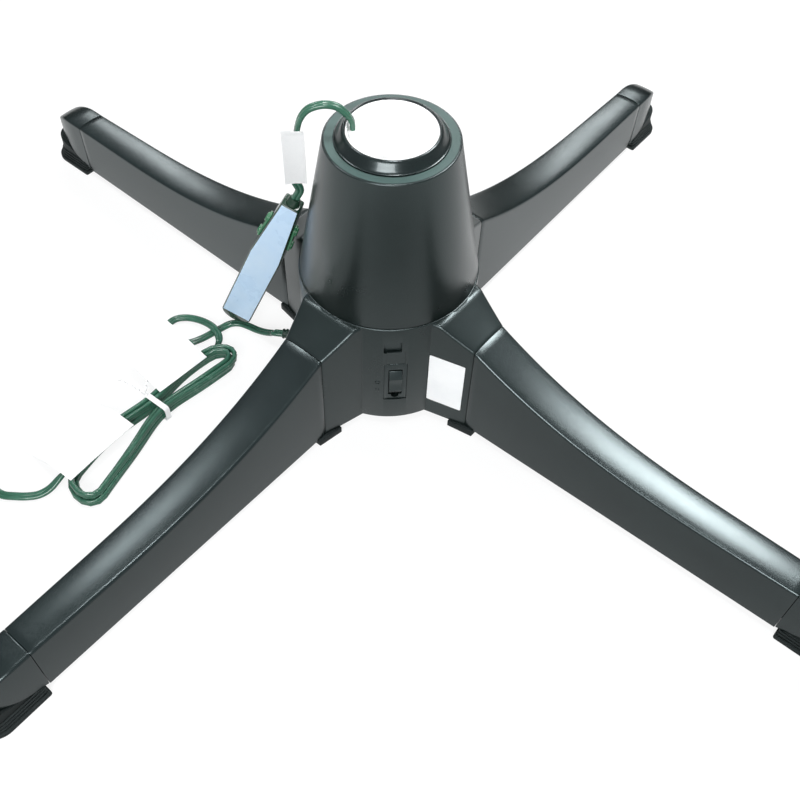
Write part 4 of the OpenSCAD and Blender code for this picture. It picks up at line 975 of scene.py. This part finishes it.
def rocker_paddle():
    """Rocker with two sloping ends, a hollowed face and its pivot pins."""
    side = [(3, -7.5), (-3, -14.4), (-7, -15), (-11, -7.5), (-10.3, -3.6), (-10.1, 0), (-10.3, 3.6),
            (-11, 7.5), (-7, 15), (-3, 14.4), (3, 7.5)]
    outline = [(-ROCKER_W / 2, PIVOT_Y + y * MM, ROCKER_Z + z * MM) for y, z in side]
    paddle = extruded("rocker_paddle", outline, (ROCKER_W, 0, 0))
    soften(paddle, 0.5 * MM, 3, 22)
    reach = ROCKER_W / 2 + 3 * MM
    pin = rod("pin", PIVOT_R, (-reach, PIVOT_Y, ROCKER_Z), (reach, PIVOT_Y, ROCKER_Z), 32)
    combine(paddle, pin, "UNION")
    return paddle


def sticker():
    """Blank white sticker on the front-right arm's left wall, with rounded corners."""
    slope = math.tan(ARM_FLARE)
    at_axis = arm_half(0)
    # Where the arm's wall leaves the round core
    root = math.sqrt((at_axis * slope) ** 2 - (1 + slope**2) * (at_axis**2 - HUB_R**2))
    start = (at_axis * slope + root) / (1 + slope**2) + 0.5 * MM
    low, width, height = 26.5 * MM, 32 * MM, 60 * MM
    film = box("sticker", (0, -0.3 * MM, low), (width, -0.02 * MM, low + height))
    with editing(film):
        choose(film, "EDGE", lambda e: abs(e.verts[0].co.y - e.verts[1].co.y) > 1e-5)
        bpy.ops.mesh.bevel(offset=1.2 * MM, segments=4, affect="EDGES")
    turn(film, math.degrees(ARM_FLARE), place=(start, -arm_half(start), 0))
    return turn(film, SIDES["front_right"])


# ---- Leads ----


def curve_through(points, per=4):
    """A smooth line through points, as a Catmull-Rom curve with a few steps for each."""
    rows = [Vector(p) for p in points]
    rows = [2 * rows[0] - rows[1], *rows, 2 * rows[-1] - rows[-2]]
    line = []
    for a, b, c, d in zip(rows, rows[1:], rows[2:], rows[3:]):
        for k in range(per):
            t = k / per
            line.append(0.5 * (2 * b + (c - a) * t + (2 * a - 5 * b + 4 * c - d) * t**2
                               + (3 * b - a - 3 * c + d) * t**3))
    line.append(rows[-2])
    return line


def tangents(line):
    last = len(line) - 1
    return [(line[min(i + 1, last)] - line[max(i - 1, 0)]).normalized() for i in range(last + 1)]


def twin_outline():
    """The flat twin lead's section: two round lobes that meet in a groove on each side."""
    lobe = LEAD_T / 2
    off = LEAD_W / 2 - lobe
    groove = math.pi - math.acos(off / lobe)
    steps = 11
    right = [(off + lobe * math.cos(a), lobe * math.sin(a))
             for a in (mix(-groove, groove, k / steps) for k in range(steps + 1))]
    left = [(-x, -y) for x, y in right[1:-1]]
    return right + left


def sweep(name, line, wides, outline):
    """A closed tube: the outline (across, over) at each point of a line, across in a given direction."""
    rings = []
    for p, d, wide in zip(line, tangents(line), wides):
        wide = (wide - wide.dot(d) * d).normalized()
        over = d.cross(wide)
        rings.append([p + wide * x + over * y for x, y in outline])
    n = len(outline)
    faces = [list(range(n - 1, -1, -1)), [(len(rings) - 1) * n + k for k in range(n)]]
    for j in range(len(rings) - 1):
        for k in range(n):
            m = (k + 1) % n
            faces.append((j * n + k, j * n + m, (j + 1) * n + m, (j + 1) * n + k))
    data = bpy.data.meshes.new(name)
    data.from_pydata([p for ring in rings for p in ring], [], faces)
    piece = bpy.data.objects.new(name, data)
    bpy.context.scene.collection.objects.link(piece)
    with editing(piece):
        bpy.ops.mesh.normals_make_consistent(inside=False)
    return piece


def turned_width(line, up, degrees):
    """For each point of a line, the direction of a lead's width: across the line, turned by an angle."""
    wides = []
    for d, angle in zip(tangents(line), degrees):
        flat = Vector(up).cross(d).normalized()
        a = math.radians(angle)
        wides.append(flat * math.cos(a) + d.cross(flat) * math.sin(a))
    return wides


# Routes of the leads, in millimetres from the axis and the floor
POWER_ROUTE = [
    (-105, 25, 13), (-113, 31, 8), (-121, 38, 4), (-129, 44, 3), (-137, 48, 3), (-146, 48, 3), (-155, 43, 3),
    (-164, 37, 3), (-174, 31, 3), (-185, 27, 3), (-196, 28, 3), (-205, 34, 3), (-208, 43, 3), (-205, 52, 3),
    (-198, 58, 3), (-189, 59, 3), (-180, 56, 4), (-171, 50, 6), (-163, 42, 8), (-158, 34, 8), (-156, 26, 6),
    (-159, 17, 5),
]
TAIL_ROUTE = [
    (-275, -104, 13), (-281, -112, 12), (-288, -119, 9), (-296, -126, 5), (-305, -130, 3), (-315, -131, 3),
    (-325, -130, 3), (-335, -128, 3), (-343, -122, 3), (-348, -113, 3), (-351, -103, 3), (-354, -92, 3),
    (-358, -82, 4), (-361, -74, 6),
]
OUTPUT_ROUTE = [
    (-29, 9, 265), (-33, 9, 272), (-40, 10, 278), (-50, 10, 280), (-60, 10, 277), (-66, 10, 270),
    (-69, 11, 260), (-70, 13, 250), (-71, 17, 238), (-72, 20, 224), (-73, 23, 210), (-74, 26, 197),
]
EXIT_ANGLE = math.radians(168)
EXIT_R = 98 * MM
EXIT_Z = 17 * MM
TAIL_TURN = math.radians(112)  # heading of the plug
PLUG_FACE = 40.9 * MM  # from the lead's end to the face that the blades stand on

# The hank: its waist, its heading and the size of its loops
HANK_AT = Vector((-209, -50, 4.8)) * MM
HANK_TURN = math.radians(47.5)
HANK_RIGHT, HANK_LEFT = 88 * MM, 108 * MM
HANK_BOW = -1.2  # sideways bow for each square metre along the hank
HANK_SPREAD = 0.032  # how much nearer its middle each side comes, for each metre along it
HANK_TURNS = 3
HANK_PER = 1.5  # turns in each of its two layers
HANK_IN = 9.7 * MM  # from its middle to the innermost turn
HANK_STEP = 4.9 * MM  # from one turn to the next
HANK_CLIMB = 7.85 * MM  # from its lower to its upper layer
HANK_PINCH, HANK_PINCH_L = 7.1 * MM, 34 * MM  # how far the tie draws its sides in, and over what length
HANK_START, HANK_OVER = -0.15, 0.17  # turns added before its waist and after it
HANK_TOP = 16.35 * MM
HANK_PER_TURN = 60  # points in each turn


def hank_point(q):
    """A point on the hank after q turns from its waist."""
    w = HANK_IN + HANK_STEP * abs(HANK_PER - q)
    run = HANK_LEFT + HANK_RIGHT - 2 * (HANK_IN + HANK_STEP * HANK_PER)
    left = run / 2 - (HANK_RIGHT - HANK_LEFT) / 2
    loop = math.pi * w
    d = (q - math.floor(q)) * 2 * (run + loop)
    if d < left:
        u, v = -d, w
    elif d < left + loop:
        a = math.pi / 2 + (d - left) / w
        u, v = -left + w * math.cos(a), w * math.sin(a)
    elif d < left + loop + run:
        u, v = d - left - loop - left, -w
    elif d < left + 2 * loop + run:
        a = (d - left - loop - run) / w - math.pi / 2
        u, v = run - left + w * math.cos(a), w * math.sin(a)
    else:
        u, v = 2 * run + 2 * loop - d, w
    v = v - v / w * (HANK_PINCH * math.exp(-((u / HANK_PINCH_L) ** 2)) + HANK_SPREAD * u) + HANK_BOW * u * u
    climb = HANK_CLIMB * min(1, max(0, (q - HANK_PER + 0.2) / 0.4))
    return HANK_AT + Matrix.Rotation(HANK_TURN, 3, "Z") @ Vector((u, v, 0)) + Vector((0, 0, climb))


def mains_line():
    """The mains lead's centre line from the strain relief to the plug, and its turn at each point."""
    outward = Vector((math.cos(EXIT_ANGLE), math.sin(EXIT_ANGLE), 0))
    start = outward * EXIT_R + Vector((0, 0, EXIT_Z))
    count = math.ceil((HANK_TURNS + HANK_OVER - HANK_START) * HANK_PER_TURN)
    hank = [hank_point(mix(HANK_START, HANK_TURNS + HANK_OVER, i / count)) for i in range(count + 1)]
    enter = (hank[1] - hank[0]).normalized()
    leave = (hank[-1] - hank[-2]).normalized()
    power = [start, start + LEAD_W * outward, *(Vector(p) * MM for p in POWER_ROUTE),
             hank[0] - 2 * LEAD_W * enter, hank[0] - LEAD_W * enter]
    to_plug = Vector((math.cos(TAIL_TURN), math.sin(TAIL_TURN), 0))
    tail = [hank[-1] + LEAD_W * leave, *(Vector(p) * MM for p in TAIL_ROUTE)]
    tail.append(tail[-1] + 2 * LEAD_W * to_plug)
    first = curve_through([*power, hank[0]])[:-1]
    last = curve_through([hank[-1], *tail])[1:]
    power_share = len(first) * (len(power) - 1) / len(power)
    # The lead lies flat on the floor and stands on its edge in the hank
    turns = [90 * ease((i / power_share - 0.8) / 0.2) for i in range(len(first))]
    turns += [90] * len(hank)
    turns += [90 - 90 * ease((i / len(last) - 0.05) / 0.3) for i in range(len(last))]
    return first + hank + last, turns


def length_of(line):
    return sum((b - a).length for a, b in zip(line, line[1:]))


BLOCK_FOOT = Vector((-135.5, 53.5, 19.5)) * MM
BLOCK_L = 162 * MM
BLOCK_HALF = 14.5 * MM
BLOCK_T = 19 * MM
BLOCK_NOSE = 13 * MM
BLOCK_BREAK = 0.58 * BLOCK_L  # where its taper starts
NECK_HALF = 8.25 * MM
NECK_T = 15 * MM
SLEEVE_L = 6 * MM
BLOCK_HEADING, BLOCK_LEAN, BLOCK_TWIST = (math.radians(a) for a in (-21, 22.8, -1))
BLOCK_FRAME = (Matrix.Translation(BLOCK_FOOT) @ Matrix.Rotation(BLOCK_HEADING, 4, "Z")
               @ Matrix.Rotation(BLOCK_LEAN, 4, "Y") @ Matrix.Rotation(BLOCK_TWIST, 4, "Z"))


def output_line():
    """The output lead's centre line, from the gland in the socket into the outlet block, and its turns."""
    up = (BLOCK_FRAME.to_3x3() @ Vector((0, 0, 1))).normalized()
    end = BLOCK_FOOT + (BLOCK_L + SLEEVE_L) * up
    route = [Vector(p) * MM for p in OUTPUT_ROUTE]
    line = curve_through([GLAND_AT, *route, end + 1.5 * LEAD_W * up, end], per=5)
    line += [end - up * k * MM for k in (10, 20, 30, 40)]
    return line, [90 - 90 * ease((i / len(line) - 0.45) / 0.25) for i in range(len(line))]


# ---- What is on the leads ----


def block_body():
    """Outlet block: round foot, straight sides, then a taper on all four sides up to the lead's sleeve."""
    face = BLOCK_T / 2
    outline = [(BLOCK_HALF * math.cos(a), face, BLOCK_NOSE * math.sin(a))
               for a in (math.pi + math.pi * k / 20 for k in range(21))]
    outline += [(BLOCK_HALF, face, BLOCK_BREAK), (NECK_HALF, face, BLOCK_L), (-NECK_HALF, face, BLOCK_L),
                (-BLOCK_HALF, face, BLOCK_BREAK)]
    block = extruded("block", outline, (0, -BLOCK_T, 0))
    for z in (BLOCK_BREAK, 0):
        cut_across(block, z)
    for v in block.data.vertices:
        above = max(0, v.co.z - BLOCK_BREAK) / (BLOCK_L - BLOCK_BREAK)
        below = max(0, -v.co.z) / BLOCK_NOSE
        v.co.y = math.copysign(mix(face, NECK_T / 2, above) - 3 * MM * below, v.co.y)
    soften(block, 1.6 * MM, 4, 40)
    sleeve = rod("sleeve", 6.4 * MM, (0, 0, BLOCK_L - 2 * MM), (0, 0, BLOCK_L + SLEEVE_L), 40)
    for v in sleeve.data.vertices:
        if v.co.z > BLOCK_L:
            v.co.x, v.co.y = 0.72 * v.co.x, 0.6 * v.co.y
    soften(sleeve, 0.5 * MM, 2, 50)
    combine(block, sleeve, "UNION")
    return block


def outlet_covers():
    """On each side of the taper, a covered outlet: an oval plate with two raised ends."""
    lean = math.atan((BLOCK_HALF - NECK_HALF) / (BLOCK_L - BLOCK_BREAK))
    place = 0.76 * BLOCK_L
    wall = mix(BLOCK_HALF, NECK_HALF, (place - BLOCK_BREAK) / (BLOCK_L - BLOCK_BREAK))
    long, half, knob_at = 15 * MM, 5.6 * MM, 9 * MM
    covers = []
    for side in (-1, 1):
        plate = box("covers", (-long, -half, 0.05 * MM), (long, half, 2.4 * MM))
        with editing(plate):
            choose(plate, "EDGE", lambda e: abs(e.verts[0].co.z - e.verts[1].co.z) > 1e-4)
            bpy.ops.mesh.bevel(offset=5.2 * MM, segments=8, affect="EDGES")
        soften(plate, 0.8 * MM, 3, 50)
        for x in (-knob_at, knob_at):
            knob = rod("knob", 4.2 * MM, (x, 0, MM), (x, 0, 3.9 * MM), 32)
            soften(knob, 1.2 * MM, 3, 50)
            combine(plate, knob, "UNION")
        tilt = Matrix.Rotation(side * (math.pi / 2 - lean), 4, "Y")
        plate.data.transform(Matrix.Translation((side * wall, 0, place)) @ tilt)
        covers.append(plate)
    return joined(covers)


def block_label():
    """Blank film on the front of the block, folded where the taper starts."""
    slope = (BLOCK_T - NECK_T) / 2 / (BLOCK_L - BLOCK_BREAK)
    wide, narrow = BLOCK_HALF - 1.2 * MM, NECK_HALF - 1.2 * MM
    rows = [(0.5 * MM, wide), (BLOCK_BREAK, wide), (BLOCK_L - MM, narrow)]
    front = -BLOCK_T / 2 - 0.05 * MM
    points = [(-w, front + slope * max(0, z - BLOCK_BREAK), z) for z, w in rows]
    points += [(-x, y, z) for x, y, z in reversed(points)]
    data = bpy.data.meshes.new("label")
    data.from_pydata(points, [], [(0, 5, 4, 1), (1, 4, 3, 2)])
    label = bpy.data.objects.new("label", data)
    bpy.context.scene.collection.objects.link(label)
    modify(label, "SOLIDIFY", thickness=0.3 * MM, offset=1)
    soften(label, 0.1 * MM, 1, 60)
    return label


def sheet(name, across, along, place, cut=None):
    """A thin sheet: a grid whose points go where place(x, y) says. cut(x, y) says what is left out."""
    grid = primitive(name, bpy.ops.mesh.primitive_grid_add, size=1, x_subdivisions=24, y_subdivisions=48)
    if cut:
        with editing(grid):
            choose(grid, "FACE", lambda f: cut((f.calc_center_median().x + 0.5) * across,
                                               (f.calc_center_median().y + 0.5) * along))
            bpy.ops.mesh.delete(type="FACE")
    for v in grid.data.vertices:
        v.co = place((v.co.x + 0.5) * across, (v.co.y + 0.5) * along)
    modify(grid, "SOLIDIFY", thickness=TAG_T, offset=0)
    return grid


# The tags, flat: one on the output lead with its two leaves, a large and a small one on the hank
TAG_T = 0.45 * MM
TAG_AT = Vector((-81.5, 5.85, 262)) * MM
LEAD_TAG_W = 17 * MM
LEAD_TAG_FRONT, LEAD_TAG_BACK = 66 * MM, 30 * MM
FLOOR_TAG = (72 * MM, 66 * MM)
HANK_TAG = (55 * MM, 66 * MM)
TAG_LIFT = 0.7 * MM  # how far a tag lies over the hank


def tag_on_lead():
    """Blank tag that the output lead runs through: one leaf hangs before it, one stands up behind it."""
    lean, rise, bend = math.radians(13), math.radians(45), 4 * MM

    def place(x, y):
        d = y - LEAD_TAG_FRONT
        if d < -bend:
            curl = 0.8 * MM * math.sin(math.pi * x / LEAD_TAG_W)
            return TAG_AT + Vector((x, curl - math.sin(lean) * d, math.cos(lean) * d))
        t = ease((d + bend) / (2 * bend))
        low = Vector((x, -math.sin(lean) * d, math.cos(lean) * d))
        high = Vector((x, math.sin(rise) * d, math.cos(rise) * d))
        if d <= bend:
            return TAG_AT + low * (1 - t) + high * t
        return TAG_AT + high + Vector((0.06 * (d - bend), 0, 0))

    def slit(x, y):
        """The opening that the lead passes through."""
        past, d = x - 7.5 * MM, y - LEAD_TAG_FRONT
        return past > 0 and -1.5 * MM < d < 15 * MM + 0.2 * past

    return sheet("tag_on_lead", LEAD_TAG_W, LEAD_TAG_FRONT + LEAD_TAG_BACK, place, cut=slit)


def in_hank(u, v, z):
    """A point given along the hank, across it and up from the floor."""
    return HANK_AT + Matrix.Rotation(HANK_TURN, 3, "Z") @ Vector((u, v, 0)) + Vector((0, 0, z - HANK_AT.z))


def tag_by_floor():
    """Large blank tag that lies on the hank and slopes down to the floor."""
    width = FLOOR_TAG[0]

    def place(x, y):
        slide = ease(max(0, y - 18 * MM) / (48 * MM))
        fall = slide * (HANK_TOP - 1.6 * MM)
        curl = 0.8 * MM * math.sin(math.pi * x / width)
        return in_hank(-30 * MM - x, y - 3 * MM, HANK_TOP + TAG_LIFT - fall + curl)

    return sheet("tag_by_floor", *FLOOR_TAG, place)


def tag_on_hank():
    """Small blank tag that leans up from the hank."""
    turned, lean = math.radians(-5), math.radians(8)
    across, along = HANK_TAG

    def place(x, y):
        u, v = x - across, y * math.cos(lean)
        curl = 1.2 * MM * math.sin(math.pi * y / along)
        return in_hank(64 * MM + u * math.cos(turned) - v * math.sin(turned),
                       u * math.sin(turned) + v * math.cos(turned),
                       HANK_TOP + TAG_LIFT + y * math.sin(lean) + curl)

    return sheet("tag_on_hank", across, along, place)


def twist_tie():
    """Paper-covered tie: a flat band round the waist of the hank and two twisted tails."""
    corner = 3 * MM
    side, low, high = 12.9 * MM - corner, 0.5 * MM + corner, HANK_TOP + 0.5 * MM - corner
    ring = []
    for centre, start in (((side, high), 0), ((-side, high), 90), ((-side, low), 180), ((side, low), 270)):
        ring += [in_hank(0, *p) for p in arc(centre, corner, start, start + 90, 5)]
    ring.append(ring[0])
    half, thin = 2.5 * MM, 0.35 * MM
    flat = [(-half, -thin), (half, -thin), (half, thin), (-half, thin)]
    along = Matrix.Rotation(HANK_TURN, 3, "Z") @ Vector((1, 0, 0))
    pieces = [sweep("twist_tie", ring, [along] * len(ring), flat)]
    for points in ([(0, 12.5, 15), (-1, 17, 19), (-3, 25, 23), (-6, 33, 26), (-8, 40, 26)],
                   [(1, 12.5, 15), (3, 16, 17), (7, 19, 19), (12, 22, 20)]):
        tail = curve_through([in_hank(*(Vector(p) * MM)) for p in points], per=8)
        turns = [Matrix.Rotation(0.5 * i, 3, d) @ along for i, d in enumerate(tangents(tail))]
        pieces.append(sweep("tail", tail, turns, [(0.45 * x, y) for x, y in flat]))
    return joined(pieces)


def lie_along(piece, start, heading):
    """Turns a piece made upright about +Z so that it lies from a point along a level heading."""
    across = Matrix.Rotation(heading, 4, "Z") @ Matrix.Rotation(math.pi / 2, 4, "Y")
    piece.data.transform(Matrix.Translation(start) @ across)
    return piece


def strain_relief():
    """Tapered, ribbed relief moulded on the mains lead, with a flange on each side of the wall."""
    inner, wall = HUB_R - 7 * MM, HUB_R + 0.4 * MM
    bore, waist, flange, edge = 2.4 * MM, 5 * MM, 6.4 * MM, 0.2 * MM
    profile = [(bore, inner), (flange - edge, inner), (flange, inner + 0.3 * MM), (flange, inner + 2.5 * MM),
               (waist, inner + 2.5 * MM), (waist, wall), (flange - edge, wall), (flange, wall + 0.3 * MM),
               (flange, wall + 1.7 * MM), (flange - 2 * edge, wall + 2 * MM)]
    ribs, groove = 6, 0.9 * MM
    step = (EXIT_R - wall - 2.4 * MM) / ribs
    for k in range(ribs):
        z = wall + 2.2 * MM + step * k
        r = mix(5.5, 4.7, k / (ribs - 1)) * MM
        profile += [(r - groove, z), (r - groove, z + 0.35 * step), (r, z + 0.45 * step),
                    (r, z + 0.85 * step), (r - 0.3 * MM, z + step)]
    profile.append((bore, EXIT_R))
    return lie_along(spun("strain_relief", profile, 64), Vector((0, 0, EXIT_Z)), EXIT_ANGLE)


def plug_body(start):
    """Moulded two-pin plug: ribbed neck, waist and a grip with finger ridges."""
    bore, waist, waist_from, waist_to = 2.4 * MM, 5.2 * MM, 14.2 * MM, 19 * MM
    neck = [(bore, 0.02 * MM)]
    for k in range(5):
        r, z = mix(4.6, 5.4, k / 4) * MM, (0.1 + 2.8 * k) * MM
        neck += [(r, z), (r, z + 1.7 * MM), (r - 0.8 * MM, z + 1.8 * MM), (r - 0.8 * MM, z + 2.7 * MM)]
    neck += [(waist, waist_from), (waist, waist_to), (bore, waist_to)]
    body = spun("plug", neck, 48)
    thick, wide = 5.5 * MM, 14.5 * MM
    grip = box("grip", (-thick, -wide, 17 * MM), (thick, wide, PLUG_FACE))
    with editing(grip):
        choose(grip, "EDGE", lambda e: abs(e.verts[0].co.z - e.verts[1].co.z) > 1e-4)
        bpy.ops.mesh.bevel(offset=5.2 * MM, segments=8, affect="EDGES")
    for v in grip.data.vertices:
        if v.co.z < 20 * MM:
            v.co.y *= 0.52
    soften(grip, 1.0 * MM, 3, 50)
    ridges, reach = 4, 7 * MM
    for k in range(ridges):
        z = (26 + 3.4 * k) * MM
        for x in (-1.03 * thick, 1.03 * thick):
            combine(grip, rod("groove", 0.9 * MM, (x, -reach, z), (x, reach, z), 16))
    combine(body, grip, "UNION")
    return lie_along(body, start, TAIL_TURN)


def blades(start):
    """Two flat blades with rounded ends and a hole in each."""
    off, thin, half, low, high = 6.35 * MM, 0.75 * MM, 3.2 * MM, PLUG_FACE + 0.05 * MM, PLUG_FACE + 17 * MM
    eye_z, reach = high - 3.9 * MM, 2 * MM
    made = []
    for x in (-off, off):
        blade = box("blades", (-half, x - thin, low), (half, x + thin, high))
        with editing(blade):
            choose(blade, "EDGE", lambda e: min(v.co.z for v in e.verts) > high - MM
                   and abs(e.verts[0].co.y - e.verts[1].co.y) > 1e-4)
            bpy.ops.mesh.bevel(offset=2.2 * MM, segments=5, affect="EDGES")
        soften(blade, 0.18 * MM, 2, 50)
        combine(blade, rod("eye", 1.5 * MM, (0, x - reach, eye_z), (0, x + reach, eye_z), 32))
        made.append(blade)
    return lie_along(joined(made), start, TAIL_TURN)


# ---- The stand ----

place_camera()
lay_floor()
light_up()
finishes = make_materials()
slot_of = {row["node"]: row["material_slot"] for row in frame["record"]["subparts"]}
for name, piece in frame["nodes"].items():
    piece.data.materials.clear()
    piece.data.materials.append(finishes[slot_of[name]])

# Shells and moving parts
put_on(hub_shell(), finishes["housing_plastic"], "housing_plastic", ("hub_housing",))
put_on(switch_marks(), finishes["housing_plastic"], "housing_plastic")
put_on(tower_shell(), finishes["housing_plastic"], "housing_plastic", ("tower_shell",))
# Painted light: a paler skin over the flat top of the tower's rim
put_on(rim_flat(), finishes["rim_plastic"], "housing_plastic")
put_on(collar(), finishes["collar_plastic"], "collar_plastic", ("socket_collar",), "turntable")
put_on(liner(), finishes["liner_plastic"], "liner_plastic", ("socket_liner",), "turntable")
put_on(bezel(), finishes["switch_plastic"], "switch_plastic", ("switch_bezel",))
put_on(rocker_paddle(), finishes["switch_plastic"], "switch_plastic", ("rocker",), "rocker")
put_on(sticker(), finishes["sticker_film"], "sticker_film", ("blank_sticker",))

# What repeats on the four arms is made once
for maker, slot, node in ((leg_shell, "leg_plastic", "leg_"), (cap_shell, "leg_plastic", "cap_"),
                          (foot, "foot_rubber", "foot_"), (joint_plate, "foot_rubber", "joint_plate_")):
    first = maker()
    for side, angle in SIDES.items():
        made = turn(copy_of(first, "visual_" + node + side), angle)
        put_on(made, finishes[slot], slot, (node + side,))
    bpy.data.objects.remove(first)

# Mains lead and what is on it
line, turns = mains_line()
mains = put_on(sweep("mains_lead", line, turned_width(line, (0, 0, 1), turns), twin_outline()),
               finishes["lead_pvc"], "lead_pvc", ("power_cord", "cord_hank", "cord_tail"))
put_on(strain_relief(), finishes["relief_pvc"], "lead_pvc", ("cord_bush",))
put_on(plug_body(line[-1]), finishes["relief_pvc"], "lead_pvc", ("wall_plug",))
put_on(blades(line[-1]), finishes["brass"], "brass", ("plug_blades",))
for maker, node in ((twist_tie, "hank_tie"), (tag_by_floor, "large_tag"), (tag_on_hank, "small_tag")):
    put_on(maker(), finishes["tag_paper"], "tag_paper", (node,))
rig.cord(mains, exit=line[0], length=round(length_of(line), 3), diameter=LEAD_W, far_end="plug",
        stiffness="limp", lay="loose", path=line,
        with_pieces=["strain_relief", "plug", "blades", "twist_tie", "tag_by_floor", "tag_on_hank"])

# Output lead and what is on it. Its inner end follows the socket
line, turns = output_line()
output = sweep("output_lead", line, turned_width(line, (0, 1, 0), turns), twin_outline())
put_on(output, finishes["lead_pvc"], "lead_pvc", ("output_cord",))
output.parent = None
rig.blend(output, "base", "turntable", start=(-34 * MM, 0, 0.27), end=(-28.5 * MM, 0, 0.269))
for maker, finish, slot, node in ((block_body, "block_plastic", "block_plastic", "outlet_block"),
                                  (outlet_covers, "cover_plastic", "block_plastic", "outlet_sockets"),
                                  (block_label, "label_film", "label_film", "block_label")):
    piece = maker()
    piece.data.transform(BLOCK_FRAME)
    put_on(piece, finishes[finish], slot, (node,))
put_on(tag_on_lead(), finishes["tag_paper"], "tag_paper", ("lead_tag",))
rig.cord(output, exit=line[0], length=round(length_of(line), 3), diameter=LEAD_W, far_end="connector",
        stiffness="limp", lay="hanging", path=line, with_pieces=["block", "covers", "label", "tag_on_lead"])

scene = bpy.context.scene
scene.view_settings.view_transform = "Standard"
with open("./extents.json", "w") as f:
    json.dump({"cad": [list(c) for c in cad_box], "visual": [list(c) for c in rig.bounds()]}, f)
